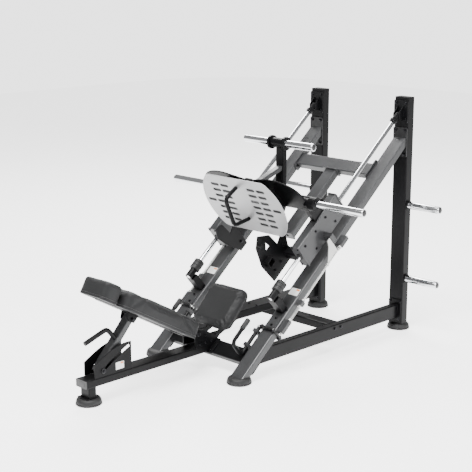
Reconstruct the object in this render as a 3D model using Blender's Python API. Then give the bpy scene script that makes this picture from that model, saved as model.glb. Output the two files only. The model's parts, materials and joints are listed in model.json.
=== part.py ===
"""Leg press machine: a sled on two inclined guide rods, a seat with an adjustable backrest, and safety catches.

Metres, +Z up, +Y from the head rest towards the uprights, origin on the floor under the middle of the machine.
"""
import math

import bmesh
import bpy
from mathutils import Matrix, Vector

# ---- driving dimensions -------------------------------------------------------------------------------------
GAP = 0.0003                     # clearance kept between pieces that touch
WELD = 0.0006                    # how far welded solids sink into each other
UPRIGHT_HEIGHT = 1.600
FOOT_RADIUS = 0.077
FOOT_HEIGHT = 0.040
FOOT_Y = 1.205                   # front and rear feet, from the middle of the machine
LEG_FOOT_Y = -0.355
SIDE_X = 0.3695                  # centre plane of each rail, leg and upright
RAIL_ANGLE = math.radians(40.025)
RAIL_Y = -0.162                  # the rails' top plane passes here at RAIL_Z
RAIL_Z = 0.224
RAIL_WIDTH = 0.100
RAIL_DEPTH = 0.048
WALL = 0.003                     # tube wall
UPRIGHT_WIDTH = 0.112
UPRIGHT_DEPTH = 0.065
UPRIGHT_FRONT = 1.165            # y of the uprights' front face
ROD_X = 0.368
ROD_HEIGHT = 0.1357              # guide rod axis above the rails' top plane
ROD_RADIUS = 0.014
BEAM_WIDTH = 0.100
BEAM_DEPTH = 0.048
BEAM_LOW = 0.108                 # underside of the centre beam
HORN_RADIUS = 0.0245
HORN_TIP = 0.831
HORN_S = 0.8135                  # side horn axis along the rails, and above them
HORN_N = 0.360
TOP_HORN_TIP = 0.300
TOP_HORN_Y = 0.375
TOP_HORN_Z = 1.340
SLED_LOW = 0.567                 # bearing housings, along the rails
SLED_HIGH = 1.011
BACK_ANGLE = math.radians(29.41)
BACK_LOW = (-0.432, 0.3472)      # y and z of the back pad's lower edge, on its top face
SEAT_ANGLE = math.radians(46.3)
SEAT_MIDDLE = (-0.183, 0.390)
HINGE = (-0.400, 0.246)          # backrest hinge, y and z
STRUT_TOP = (-0.902, 0.447)      # strut pivot on the backrest
STRUT_FOOT = (-1.132, 0.191)     # strut pin in the quadrant slots
BACK_TRAVEL = math.radians(20)   # how far the backrest rises
STRUT_RATIO = 1.84               # strut turn for each turn of the backrest
CATCH_X = 0.450                  # safety shaft, beside the rail
CATCH_N = -0.024
LEVER_X = 0.306                  # release lever's own shaft
LEVER_N = 0.0135

SIDES = (("left", -1), ("right", 1))

# ---- frames: X stays across the machine -----------------------------------------------------------------------
WORLD = Matrix.Identity(4)
RAIL = Matrix.Translation((0, RAIL_Y, RAIL_Z)) @ Matrix.Rotation(RAIL_ANGLE, 4, "X")
BACK = Matrix.Translation((0, *BACK_LOW)) @ Matrix.Rotation(-BACK_ANGLE, 4, "X")
SEAT = Matrix.Translation((0, *SEAT_MIDDLE)) @ Matrix.Rotation(SEAT_ANGLE, 4, "X")
FOOT_TILT = math.radians(-11.6)
FOOTPLATE = RAIL @ Matrix.Translation((0, 0.6535, 0.435)) @ Matrix.Rotation(FOOT_TILT, 4, "X")

# ---- finishes: colour, roughness, metallic --------------------------------------------------------------------
BLACK = ("black_paint", (0.025, 0.025, 0.027), 0.5, 0.0)
GREY = ("grey_paint", (0.30, 0.31, 0.32), 0.4, 0.3)
PLATE = ("silver_paint", (0.50, 0.51, 0.52), 0.38, 0.4)
CHROME = ("chrome", (0.75, 0.76, 0.78), 0.15, 1.0)
STEEL = ("zinc_steel", (0.55, 0.56, 0.57), 0.35, 1.0)
RUBBER = ("rubber", (0.02, 0.02, 0.02), 0.8, 0.0)
LEATHER = ("upholstery", (0.045, 0.045, 0.05), 0.5, 0.0)


def clear_scene():
    """Removes every object."""
    for item in list(bpy.data.objects):
        bpy.data.objects.remove(item, do_unlink=True)


def paint(finish):
    """Returns the material of a finish, made on first use."""
    name, colour, roughness, metallic = finish
    material = bpy.data.materials.get(name)
    if material is None:
        material = bpy.data.materials.new(name)
        material.use_nodes = True
        shader = material.node_tree.nodes["Principled BSDF"]
        shader.inputs["Base Color"].default_value = (*colour, 1)
        shader.inputs["Roughness"].default_value = roughness
        shader.inputs["Metallic"].default_value = metallic
    return material


def rounded(half_u, half_v, radius, steps=2, middle=(0, 0)):
    """Returns a rectangle's outline with round corners."""
    points = []
    for corner, (side_u, side_v) in enumerate(((1, 1), (-1, 1), (-1, -1), (1, -1))):
        for step in range(steps + 1):
            angle = math.radians(90) * (corner + step / steps)
            points.append((middle[0] + side_u * (half_u - radius) + radius * math.cos(angle),
                           middle[1] + side_v * (half_v - radius) + radius * math.sin(angle)))
    return points


def circle(radius, sides, middle=(0, 0)):
    """Returns a regular outline with a flat side at the top."""
    turn = 2 * math.pi / sides
    return [(middle[0] + radius * math.cos(turn * (i + 0.5)), middle[1] + radius * math.sin(turn * (i + 0.5)))
            for i in range(sides)]


def mirrored(outline):
    """Returns an outline with its first coordinate's sign changed."""
    return [(-u, v) for u, v in reversed(outline)]


class Piece:
    """Closed solids that are welded together into one named object."""

    def __init__(self, frame=WORLD):
        self.solids = []
        self.frame = frame

    @property
    def mesh(self):
        """The solid being made."""
        return self.solids[-1]

    def spot(self, axis, along, u, v):
        """Returns a point from its place along an axis and across it (x: y, z; y: x, z; z: x, y)."""
        place = {"x": (along, u, v), "y": (u, along, v), "z": (u, v, along)}[axis]
        return self.frame @ Vector(place)

    def prism(self, axis, outline, start, end, holes=(), slopes=(0, 0)):
        """Extrudes an outline with holes along an axis; slopes lean each end with the outline's v."""
        self.solids.append(bmesh.new())
        edges = []
        places = {}
        for loop in (outline, *holes):
            ring = []
            for u, v in loop:
                vert = self.mesh.verts.new(self.spot(axis, start + slopes[0] * v, u, v))
                places[vert] = (u, v)
                ring.append(vert)
            edges += [self.mesh.edges.new((a, b)) for a, b in zip(ring, ring[1:] + ring[:1])]
        filled = bmesh.ops.triangle_fill(self.mesh, use_beauty=True, edges=edges)["geom"]
        cap = [item for item in filled if isinstance(item, bmesh.types.BMFace)]
        before = list(places.items())
        raised = bmesh.ops.extrude_face_region(self.mesh, geom=cap, use_keep_orig=True)["geom"]
        lookup = {tuple(round(c, 6) for c in vert.co): where for vert, where in before}
        for item in raised:
            if isinstance(item, bmesh.types.BMVert):
                u, v = lookup[tuple(round(c, 6) for c in item.co)]
                item.co = self.spot(axis, end + slopes[1] * v, u, v)
        return self

    def box(self, low, high):
        """Adds a box from its lowest to its highest corner in the piece's frame."""
        (x0, y0, z0), (x1, y1, z1) = low, high
        return self.prism("x", [(y0, z0), (y1, z0), (y1, z1), (y0, z1)], x0, x1)

    def tube(self, axis, middle, half_u, half_v, start, end, slopes=(0, 0), wall=WALL, corner=0.006):
        """Adds an open rectangular tube with round edges."""
        outer = rounded(half_u, half_v, corner, 2, middle)
        inner = rounded(half_u - wall, half_v - wall, corner / 2, 1, middle)
        return self.prism(axis, outer, start, end, [inner], slopes)

    def turned(self, start, end, profile, sides=20):
        """Turns a closed profile of (along, radius) points about the line from start to end."""
        self.solids.append(bmesh.new())
        base = self.frame @ Vector(start)
        direction = (self.frame @ Vector(end) - base).normalized()
        across = direction.orthogonal().normalized()
        other = direction.cross(across)
        rings = []
        for along, radius in profile:
            centre = base + direction * along
            if radius == 0:
                rings.append([self.mesh.verts.new(centre)])
                continue
            rings.append([self.mesh.verts.new(centre + radius * (math.cos(a) * across + math.sin(a) * other))
                          for a in (2 * math.pi * (i + 0.5) / sides for i in range(sides))])
        closed = profile[0][1] > 0
        pairs = list(zip(rings, rings[1:])) + ([(rings[-1], rings[0])] if closed else [])
        for first, second in pairs:
            for i in range(sides):
                j = (i + 1) % sides
                quad = [first[i % len(first)], first[j % len(first)], second[j % len(second)],
                        second[i % len(second)]]
                self.mesh.faces.new(list(dict.fromkeys(quad)))
        return self

    def rod(self, start, end, radius, sides=20):
        """Adds a solid round bar."""
        length = (Vector(end) - Vector(start)).length
        return self.turned(start, end, [(0, 0), (0, radius), (length, radius), (length, 0)], sides)

    def ring(self, start, end, outer, inner, sides=20):
        """Adds a round sleeve."""
        length = (Vector(end) - Vector(start)).length
        return self.turned(start, end, [(0, inner), (0, outer), (length, outer), (length, inner)], sides)

    def bar(self, points, radius, bend=0.04, sides=12, steps=4):
        """Sweeps a round bar along points, with each corner rounded to a bend radius."""
        self.solids.append(bmesh.new())
        path = bent_path([Vector(p) for p in points], bend, steps)
        side = (path[1] - path[0]).normalized().orthogonal().normalized()
        rings = []
        for i, point in enumerate(path):
            ahead = (path[min(i + 1, len(path) - 1)] - path[max(i - 1, 0)]).normalized()
            side = (side - side.dot(ahead) * ahead).normalized()
            other = ahead.cross(side)
            rings.append([self.mesh.verts.new(self.frame @ (point + radius * (math.cos(a) * side
                                                                              + math.sin(a) * other)))
                          for a in (2 * math.pi * k / sides for k in range(sides))])
        for first, second in zip(rings, rings[1:]):
            for i in range(sides):
                j = (i + 1) % sides
                self.mesh.faces.new((first[i], first[j], second[j], second[i]))
        self.mesh.faces.new(rings[0])
        self.mesh.faces.new(rings[-1])
        return self

    def finish(self, name, finish, origin=(0, 0, 0)):
        """Makes the object, with its origin at a world point."""
        origin = Vector(origin)
        item, *others = [self.placed(f"{name}_{i}", solid, origin) for i, solid in enumerate(self.solids)]
        for other in others:
            join = item.modifiers.new("weld", "BOOLEAN")
            join.operation = "UNION"
            join.solver = "EXACT"
            join.object = other
        graph = bpy.context.evaluated_depsgraph_get()
        data = bpy.data.meshes.new_from_object(item.evaluated_get(graph))
        for helper in (item, *others):
            bpy.data.objects.remove(helper, do_unlink=True)
        data.name = name
        data.materials.clear()
        data.materials.append(paint(finish))
        data.shade_smooth()
        data.set_sharp_from_angle(angle=math.radians(35))
        whole = bpy.data.objects.new(name, data)
        whole.location = origin
        bpy.context.scene.collection.objects.link(whole)
        return whole

    @staticmethod
    def placed(name, solid, origin):
        """Makes a helper object of one solid."""
        bmesh.ops.recalc_face_normals(solid, faces=solid.faces)
        bmesh.ops.translate(solid, verts=solid.verts, vec=-origin)
        data = bpy.data.meshes.new(name)
        solid.to_mesh(data)
        solid.free()
        item = bpy.data.objects.new(name, data)
        item.location = origin
        bpy.context.scene.collection.objects.link(item)
        return item


def bent_path(points, bend, steps):
    """Returns a path with its inner corners replaced by arcs."""
    path = [points[0]]
    for before, corner, after in zip(points, points[1:], points[2:]):
        back = (before - corner).normalized()
        ahead = (after - corner).normalized()
        half = back.angle(ahead) / 2
        reach = min(bend / math.tan(half), 0.48 * (before - corner).length, 0.48 * (after - corner).length)
        centre = corner + (back + ahead).normalized() * (reach / math.cos(half))
        start = corner + back * reach - centre
        end = corner + ahead * reach - centre
        for step in range(steps + 1):
            path.append(centre + arc(start, end, step / steps))
    path.append(points[-1])
    return path


def arc(start, end, share):
    """Turns one radius towards another by a share of the angle between them."""
    angle = start.angle(end)
    return (start * math.sin((1 - share) * angle) + end * math.sin(share * angle)) / math.sin(angle)


def rail_s(y, n):
    """Returns the place along the rails where world y is met at a height n above their top plane."""
    return (y - RAIL_Y + n * math.sin(RAIL_ANGLE)) / math.cos(RAIL_ANGLE)


# ---- fixed frame ----------------------------------------------------------------------------------------------
PLATE_T = 0.008                  # welded end plates
FLANGE_S = 0.0815                # where leg and rail are bolted together, along the rails
FLANGE_T = 0.0062
LEAN = math.tan(RAIL_ANGLE)
UPRIGHT_OUTER = SIDE_X + UPRIGHT_WIDTH / 2
HORN_HEIGHTS = (0.364, 0.874)
REAR_BEAM = (0.478, 0.578)       # y of the rear cross beam's front and back faces
REAR_BEAM_TOP = 0.180
SEAT_BEAM_TOP = 0.312
TOP_BEAM_S = 1.425
QUAD_IN = 0.0425                 # inner and outer face of each quadrant plate
QUAD_OUT = 0.0485
LEVER_RADIUS = 0.0125
CATCH_RADIUS = 0.007
FEET = {"front": (0, -FOOT_Y), "left_leg": (-SIDE_X, LEG_FOOT_Y), "right_leg": (SIDE_X, LEG_FOOT_Y),
        "left_rear": (-SIDE_X, FOOT_Y), "right_rear": (SIDE_X, FOOT_Y)}


def feet():
    """Five moulded rubber feet."""
    for name, (x, y) in FEET.items():
        piece = Piece()
        profile = [(0, 0), (0, FOOT_RADIUS), (0.012, FOOT_RADIUS), (0.032, FOOT_RADIUS - 0.006),
                   (FOOT_HEIGHT, FOOT_RADIUS - 0.014), (FOOT_HEIGHT, 0)]
        piece.turned((x, y, 0), (x, y, 1), profile, 24)
        piece.finish(name + "_foot", RUBBER)


def uprights():
    """Two rear posts with closed tops and a disc behind each storage horn."""
    middle_y = UPRIGHT_FRONT + UPRIGHT_DEPTH / 2
    cap = 0.005
    for name, side in SIDES:
        middle = (side * SIDE_X, middle_y)
        post = Piece()
        post.tube("z", middle, UPRIGHT_WIDTH / 2, UPRIGHT_DEPTH / 2, FOOT_HEIGHT + GAP, UPRIGHT_HEIGHT - cap + WELD)
        post.prism("z", rounded(UPRIGHT_WIDTH / 2, UPRIGHT_DEPTH / 2, 0.006, 2, middle),
                   UPRIGHT_HEIGHT - cap, UPRIGHT_HEIGHT)
        for z in HORN_HEIGHTS:
            post.rod((side * (UPRIGHT_OUTER - WELD), middle_y, z), (side * (UPRIGHT_OUTER + 0.008), middle_y, z),
                     0.0315)
        post.finish(name + "_upright", BLACK)


def bearing_block(piece, inner, axis_x, axis_n, half, start, end, bore):
    """Adds a block from a tube's side face out to a shaft, bored for it."""
    side = math.copysign(1, axis_x - inner)
    outline = [(inner - side * WELD, axis_n - half), (axis_x + side * half, axis_n - half),
               (axis_x + side * half, axis_n + half), (inner - side * WELD, axis_n + half)]
    piece.prism("y", outline, start, end, [circle(bore, 16, (axis_x, axis_n))])


def legs():
    """The short front legs, each with its flange plate and the release lever's two bearings."""
    foot_s = (FOOT_HEIGHT + GAP - RAIL_Z) / math.sin(RAIL_ANGLE)
    for name, side in SIDES:
        leg = Piece(RAIL)
        leg.tube("y", (side * SIDE_X, -RAIL_DEPTH / 2), RAIL_WIDTH / 2, RAIL_DEPTH / 2, foot_s,
                 FLANGE_S - FLANGE_T + WELD, slopes=(-1 / LEAN, 0))
        leg.prism("y", rounded(0.061, 0.055, 0.008, 2, (side * SIDE_X, -0.025)), FLANGE_S - FLANGE_T,
                  FLANGE_S - GAP)
        inner = side * (SIDE_X - RAIL_WIDTH / 2)
        for start in (-0.077, 0.030):
            leg.prism("y", [(inner + side * WELD, -0.030), (side * (LEVER_X - 0.018), -0.010),
                            (side * (LEVER_X - 0.018), LEVER_N + 0.018), (inner + side * WELD, LEVER_N + 0.018)],
                      start, start + 0.022, [circle(LEVER_RADIUS + GAP, 16, (side * LEVER_X, LEVER_N))])
        leg.finish(name + "_leg", GREY)


def rails():
    """The long rails, each with its flange plates, link cover and the safety shaft's three bearings."""
    plate_n = 1.302
    for name, side in SIDES:
        middle = (side * SIDE_X, -RAIL_DEPTH / 2)
        rail = Piece(RAIL)
        top = rail_s(UPRIGHT_FRONT - PLATE_T - GAP, 0) + WELD
        rail.tube("y", middle, RAIL_WIDTH / 2, RAIL_DEPTH / 2, FLANGE_S + FLANGE_T - WELD, top, slopes=(0, LEAN))
        rail.prism("y", rounded(0.061, 0.055, 0.008, 2, (side * SIDE_X, -0.025)), FLANGE_S, FLANGE_S + FLANGE_T,
                   [circle(0.012, 12, middle)])
        rail.box((side * SIDE_X - 0.030, 0.100, -WELD), (side * SIDE_X + 0.030, 0.190, 0.0045))
        outer = side * (SIDE_X + RAIL_WIDTH / 2)
        for start, end, half in ((0.098, 0.190, 0.0125), (0.315, 0.345, 0.0150), (0.800, 0.878, 0.0135)):
            bearing_block(rail, outer, side * CATCH_X, CATCH_N, half, start, end, CATCH_RADIUS + GAP)
        rail.frame = WORLD
        rail.prism("y", rounded(UPRIGHT_WIDTH / 2, 0.098, 0.008, 2, (side * SIDE_X, plate_n)),
                   UPRIGHT_FRONT - PLATE_T - GAP, UPRIGHT_FRONT - GAP)
        rail.finish(name + "_rail", GREY)


def base_beams():
    """Side beams between the legs' undersides and the uprights, with a plate at each end."""
    low, high, half = 0.085, 0.180, 0.025
    plate_n = -RAIL_DEPTH - GAP
    front_n = plate_n - PLATE_T + WELD
    middle_z = (low + high) / 2
    start = RAIL_Y + ((0 - RAIL_Z) * math.cos(RAIL_ANGLE) - front_n) / math.sin(RAIL_ANGLE)
    for name, side in SIDES:
        beam = Piece()
        beam.tube("y", (side * SIDE_X, middle_z), half, (high - low) / 2, start,
                  UPRIGHT_FRONT - PLATE_T - GAP + WELD, slopes=(1 / LEAN, 0))
        beam.prism("y", rounded(0.050, 0.076, 0.008, 2, (side * SIDE_X, 0.138)), UPRIGHT_FRONT - PLATE_T - GAP,
                   UPRIGHT_FRONT - GAP, [circle(0.012, 12, (side * SIDE_X, middle_z))])
        beam.frame = RAIL
        beam.prism("z", rounded(0.048, 0.122, 0.008, 2, (side * SIDE_X, -0.092)), plate_n - PLATE_T, plate_n)
        beam.finish(name + "_base_beam", BLACK)


def cross_beams():
    """Rear, front and top cross beams, and the centre bar under the sled."""
    inner = SIDE_X - 0.025 - GAP
    rear = Piece()
    rear.tube("x", (sum(REAR_BEAM) / 2, REAR_BEAM_TOP - 0.025), 0.050, 0.025, -inner, inner)
    rear.finish("rear_cross_beam", BLACK)
    leg_inner = SIDE_X - RAIL_WIDTH / 2 - GAP
    front = Piece(RAIL)
    front.tube("x", (-0.130, -0.0255), 0.050, 0.0245, -leg_inner, leg_inner)
    front.finish("front_cross_beam", BLACK)
    top = Piece(RAIL)
    top.tube("x", (TOP_BEAM_S, -0.0255), 0.050, 0.0245, -leg_inner + PLATE_T - WELD, leg_inner - PLATE_T + WELD)
    for _, side in SIDES:
        top.prism("x", rounded(0.075, 0.034, 0.008, 2, (TOP_BEAM_S, -0.020)),
                  *sorted((side * leg_inner, side * (leg_inner - PLATE_T))),
                  holes=[circle(0.012, 12, (TOP_BEAM_S, -0.0255))])
    top.finish("top_cross_beam", GREY)
    bar = Piece(RAIL)
    end = TOP_BEAM_S - 0.050 - GAP
    bar.tube("y", (0, -0.0255), 0.047, 0.0245, 0.805 - WELD, end - PLATE_T + WELD)
    bar.prism("y", rounded(0.060, 0.036, 0.006, 2, (0, -0.022)), end - PLATE_T, end)
    bar.prism("y", rounded(0.050, 0.030, 0.006, 2, (0, -0.030)), 0.797, 0.805, [circle(0.012, 12, (0, -0.0255))])
    bar.finish("centre_bar", GREY)


def centre_beam():
    """The long beam under the backrest, with its front post and slanted flange."""
    top = BEAM_LOW + BEAM_DEPTH
    flange_n = 0.0083
    end = RAIL_Y + ((0 - RAIL_Z) * math.cos(RAIL_ANGLE) - flange_n + WELD) / math.sin(RAIL_ANGLE)
    beam = Piece()
    beam.tube("y", (0, (BEAM_LOW + top) / 2), BEAM_WIDTH / 2, BEAM_DEPTH / 2, -1.252, end, slopes=(0, 1 / LEAN))
    foot = FOOT_HEIGHT + GAP
    beam.tube("z", (0, -FOOT_Y), 0.040, 0.027, foot + 0.0054, BEAM_LOW + WELD)
    beam.prism("z", rounded(0.046, 0.050, 0.008, 2, (0, -FOOT_Y)), foot, foot + 0.006,
               [circle(0.012, 12, (0, -FOOT_Y))])
    beam.frame = RAIL
    beam.prism("z", rounded(0.080, 0.058, 0.008, 2, (0, -0.135)), GAP, flange_n)
    beam.finish("centre_beam", BLACK)


def seat_support():
    """Seat beam with its rear post and the tower plates that hold the backrest hinge, and the seat's frame."""
    beam = Piece()
    beam.tube("y", (0, SEAT_BEAM_TOP - 0.025), 0.050, 0.025, -0.150, 0.545)
    beam.box((-0.030, 0.498, REAR_BEAM_TOP + GAP), (0.030, 0.540, SEAT_BEAM_TOP - 0.050 + WELD))
    hinge_y, hinge_z = HINGE
    reach = 0.028
    eye = [(hinge_y + reach * math.cos(a), hinge_z + reach * math.sin(a))
           for a in (math.radians(v) for v in range(60, 211, 30))]
    outline = [(-0.420, 0.1565), (-0.262, 0.1565), (-0.215, 0.200), (-0.060, 0.266), (-0.060, 0.306),
               (-0.145, 0.306), (-0.160, 0.296), (-0.225, 0.231), (-0.290, 0.231), (-0.350, 0.262), *eye]
    for _, side in SIDES:
        beam.prism("x", outline, *sorted((side * (0.050 - WELD), side * 0.0575)), holes=[circle(0.0088, 12, HINGE)])
    beam.finish("seat_beam", BLACK)
    frame = Piece(SEAT)
    frame.prism("z", rounded(0.145, 0.125, 0.030, 3), -0.0745, -0.0595)
    frame.frame = WORLD
    low_z = SEAT_BEAM_TOP + GAP
    for _, side in SIDES:
        frame.prism("x", [(-0.146, low_z), (-0.030, low_z), (-0.054, 0.4188), (-0.1395, 0.3292)],
                    *sorted((side * 0.030, side * 0.036)))
    frame.finish("seat_frame", BLACK)


def seat_pad():
    """The seat cushion, a plain block with round corners."""
    pad = Piece(SEAT)
    pad.prism("z", rounded(0.165, 0.150, 0.055, 4), -0.059, -0.004)
    pad.finish("seat_pad", LEATHER)


def slot_path():
    """Returns the strut pin's places, as y and z, while the backrest rises."""
    places = []
    hinge = Vector(HINGE)
    arm = Vector(STRUT_TOP) - hinge
    strut_arm = Vector(STRUT_FOOT) - Vector(STRUT_TOP)
    for step in range(-1, 10):
        angle = BACK_TRAVEL * step / 8
        places.append(hinge + Matrix.Rotation(-angle, 2) @ arm
                      + Matrix.Rotation((STRUT_RATIO - 1) * angle, 2) @ strut_arm)
    return places


def slot_outline(places, half):
    """Returns the outline of a slot along a path."""
    left, right = [], []
    for i, place in enumerate(places):
        ahead = (places[min(i + 1, len(places) - 1)] - places[max(i - 1, 0)]).normalized()
        side = Vector((-ahead.y, ahead.x)) * half
        left.append(place + side)
        right.append(place - side)
    return [tuple(p) for p in left + right[::-1]]


def quadrants():
    """Two slotted plates on the centre beam that guide the strut's pin."""
    low = BEAM_LOW + BEAM_DEPTH + GAP
    front, rear = -1.196, -0.962
    crown = [(front + (rear - front) * share, 0.236 + 0.088 * math.sin(math.radians(100) * share))
             for share in (0, 0.12, 0.25, 0.4, 0.55, 0.7, 0.85, 1)]
    outline = [(front, low), (rear, low), *crown[::-1]]
    for name, side in SIDES:
        plate = Piece()
        plate.prism("x", outline, *sorted((side * QUAD_IN, side * QUAD_OUT)),
                    holes=[slot_outline(slot_path(), 0.0098)])
        plate.finish(name + "_quadrant", BLACK)


def guide_rods():
    """Chrome rods with their lower blocks and bumpers, and their upper brackets."""
    bore = ROD_RADIUS + GAP
    for name, side in SIDES:
        x = side * ROD_X
        rod = Piece(RAIL)
        rod.rod((x, 0.2155, ROD_HEIGHT), (x, 1.812, ROD_HEIGHT), ROD_RADIUS)
        rod.finish(name + "_guide_rod", CHROME)
        block = Piece(RAIL)
        block.ring((x, 0.215, ROD_HEIGHT), (x, 0.280, ROD_HEIGHT), 0.024, bore)
        block.box((x - 0.030, 0.215, GAP), (x + 0.030, 0.262, ROD_HEIGHT - 0.0225))
        block.finish(name + "_rod_block", BLACK)
        bumper = Piece(RAIL)
        bumper.ring((x, 0.280 + GAP, ROD_HEIGHT), (x, 0.352, ROD_HEIGHT), 0.034, bore)
        bumper.finish(name + "_bumper", RUBBER)
        bracket = Piece(RAIL)
        bracket.ring((x, 1.735, ROD_HEIGHT), (x, 1.750, ROD_HEIGHT), 0.025, bore)
        bracket.ring((x, 1.749, ROD_HEIGHT), (x, 1.806, ROD_HEIGHT), 0.0195, bore)
        bracket.frame = WORLD
        plate_y = UPRIGHT_FRONT - PLATE_T - GAP
        bracket.prism("y", rounded(UPRIGHT_WIDTH / 2, 0.075, 0.008, 2, (side * SIDE_X, 1.505)), plate_y,
                      UPRIGHT_FRONT - GAP)
        cheek = [(plate_y + WELD, 1.450), (plate_y + WELD, 1.545), (plate_y - 0.048, 1.497),
                 (plate_y - 0.048, 1.462)]
        for offset in (-0.0215, 0.0215):
            bracket.prism("x", cheek, x + offset - 0.003, x + offset + 0.003)
        bracket.finish(name + "_rod_bracket", BLACK)


def storage_horns():
    """Two spare-weight horns on the outer face of each upright."""
    y = UPRIGHT_FRONT + UPRIGHT_DEPTH / 2
    start = UPRIGHT_OUTER + 0.008 + GAP
    for name, side in SIDES:
        for level, z in zip(("low", "high"), HORN_HEIGHTS):
            horn = Piece()
            horn.rod((side * start, y, z), (side * 0.690, y, z), HORN_RADIUS)
            horn.finish(f"{name}_{level}_storage_horn", CHROME)


# ---- sled -----------------------------------------------------------------------------------------------------
HOUSING = (0.031, 0.0825)        # half width and half height of each bearing housing
HOUSING_N = 0.1345               # its middle above the rails
HOUSING_TOP = HOUSING_N + HOUSING[1] + GAP
ARCH_S = 0.7775                  # middle of the arch plate's thickness


def sled_housings():
    """Box housings with bored end plates and a catch lug, carrying linear bearings on the guide rods."""
    bore = ROD_RADIUS + GAP
    outer = ROD_X + HOUSING[0]
    lug = [(0.7655, 0.050), (0.800, 0.050), (0.800, 0.105), (0.7655, 0.105)]
    for name, side in SIDES:
        middle = (side * ROD_X, HOUSING_N)
        housing = Piece(RAIL)
        housing.tube("y", middle, *HOUSING, SLED_LOW, SLED_HIGH, wall=0.004)
        for start in (SLED_LOW - PLATE_T + WELD, SLED_HIGH - WELD):
            housing.prism("y", rounded(0.036, 0.088, 0.008, 2, middle), start, start + PLATE_T,
                          [circle(0.0158, 16, (side * ROD_X, ROD_HEIGHT))])
        housing.prism("x", lug, *sorted((side * (outer - WELD), side * (CATCH_X + 0.008))))
        housing.finish(name + "_bearing_housing", GREY)
        for level, start in (("low", 0.580), ("high", 0.930)):
            bearing = Piece(RAIL)
            bearing.ring((side * ROD_X, start, ROD_HEIGHT), (side * ROD_X, start + 0.070, ROD_HEIGHT), 0.0265, bore)
            bearing.finish(f"{name}_{level}_bearing", STEEL)


def foot_back(n):
    """Returns the place along the rails of the footplate's back face at a height above them."""
    return 0.6535 - (n - 0.435) * math.tan(FOOT_TILT) + 0.0062 + GAP


def sled_frame():
    """The upper frame: cross tube with horn collars on two towers, tied by a rear tube."""
    frame = Piece(RAIL)
    frame.ring((-0.412, HORN_S, HORN_N), (0.412, HORN_S, HORN_N), 0.030, 0.0265, 20)
    frame.tube("x", (0.9175, HOUSING_TOP + 0.020), 0.0225, 0.020, -0.352 - WELD, 0.352 + WELD)
    tower = [(0.785, HOUSING_TOP), (0.9405, HOUSING_TOP), (0.865, 0.345), (0.785, 0.345)]
    for _, side in SIDES:
        frame.prism("x", tower, *sorted((side * 0.352, side * 0.386)))
        frame.ring((side * 0.410, HORN_S, HORN_N), (side * 0.460, HORN_S, HORN_N), 0.044, HORN_RADIUS + GAP, 24)
    frame.finish("sled_cross_frame", BLACK)


def footplate_frame():
    """The lower frame: two plates on the housings that hold the footplate, with a bar between them."""
    inner = ROD_X - HOUSING[0] - GAP
    frame = Piece(RAIL)
    frame.prism("x", rounded(0.024, 0.018, 0.006, 2, (0.664, 0.281)), -0.205 - WELD, 0.205 + WELD)
    rib = [(0.632, 0.040), (0.632, 0.130), (0.700, 0.300), (ARCH_S - 0.0043, 0.330), (ARCH_S - 0.0043, 0.500),
           (foot_back(0.520), 0.520), (foot_back(0.225), 0.225), (0.5705, 0.205), (0.556, 0.310)]
    arms = {"left": [(0.500, 0.330), (0.470, 0.265), (0.500, 0.170), (0.560, 0.040)],
            "right": [(0.482, 0.380), (0.425, 0.330), (0.385, 0.200), (0.400, 0.040)]}
    windows = {"left": [], "right": [[(0.470, 0.250), (0.515, 0.250), (0.505, 0.300)]]}
    for name, side in SIDES:
        frame.prism("x", rib + arms[name], *sorted((side * 0.205, side * 0.213)), holes=windows[name])
        frame.tube("x", (0.600, 0.090), 0.030, 0.030, *sorted((side * (0.213 - WELD), side * inner)))
    frame.tube("x", (0.440, 0.190), 0.028, 0.024, 0.213 - WELD, 0.250)
    frame.rod((0.213 - WELD, 0.448, 0.335), (0.245, 0.448, 0.335), 0.012, 16)
    frame.finish("footplate_frame", BLACK)


def smooth(points, steps=4):
    """Returns a closed outline through points, as a Catmull-Rom curve."""
    count = len(points)
    outline = []
    for i in range(count):
        a, b, c, d = (Vector(points[(i + k) % count]) for k in (-1, 0, 1, 2))
        for step in range(steps):
            t = step / steps
            outline.append(tuple(0.5 * (2 * b + (c - a) * t + (2 * a - 5 * b + 4 * c - d) * t * t
                                        + (3 * b - a - 3 * c + d) * t ** 3)))
    return outline


def arch_plate():
    """The wing-shaped plate behind the footplate."""
    half = [(0.130, 0.335), (0.260, 0.335), (0.365, 0.345), (0.396, 0.400), (0.418, 0.422), (0.424, 0.455),
            (0.405, 0.505), (0.360, 0.545), (0.290, 0.570), (0.200, 0.576), (0.100, 0.557)]
    plate = Piece(RAIL)
    plate.prism("y", smooth(half + [(0, 0.540)] + mirrored(half) + [(0, 0.335)], 3), ARCH_S - 0.004, ARCH_S + 0.004)
    plate.finish("arch_plate", BLACK)


def footplate():
    """Perforated plate with two lobes of slots and a plain middle."""
    top, waist, bulge, low = 0.207, 0.245, 0.345, -0.207
    rise = bulge - waist
    radius = (top ** 2 + rise ** 2) / (2 * rise)
    middle = bulge - radius

    def half_width(v):
        return middle + math.sqrt(radius ** 2 - v ** 2)

    side = [(half_width(v), v) for v in (low + 0.012 + (top - low - 0.024) * i / 14 for i in range(15))]
    right = [(waist - 0.020, low), *side, (waist - 0.020, top)]
    holes = []
    for row in range(-3, 4):
        v = 0.045 * row
        for column in range(3):
            u = 0.115 + 0.084 * column
            if u + 0.0325 + 0.024 > half_width(v):
                continue
            for sign in (-1, 1):
                holes.append(slot_outline([Vector((sign * u - 0.025, v)), Vector((sign * u + 0.025, v))], 0.0075))
    plate = Piece(FOOTPLATE)
    plate.prism("y", right + mirrored(right), 0, 0.006, [with_round_ends(hole) for hole in holes])
    plate.finish("footplate", PLATE)


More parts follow.
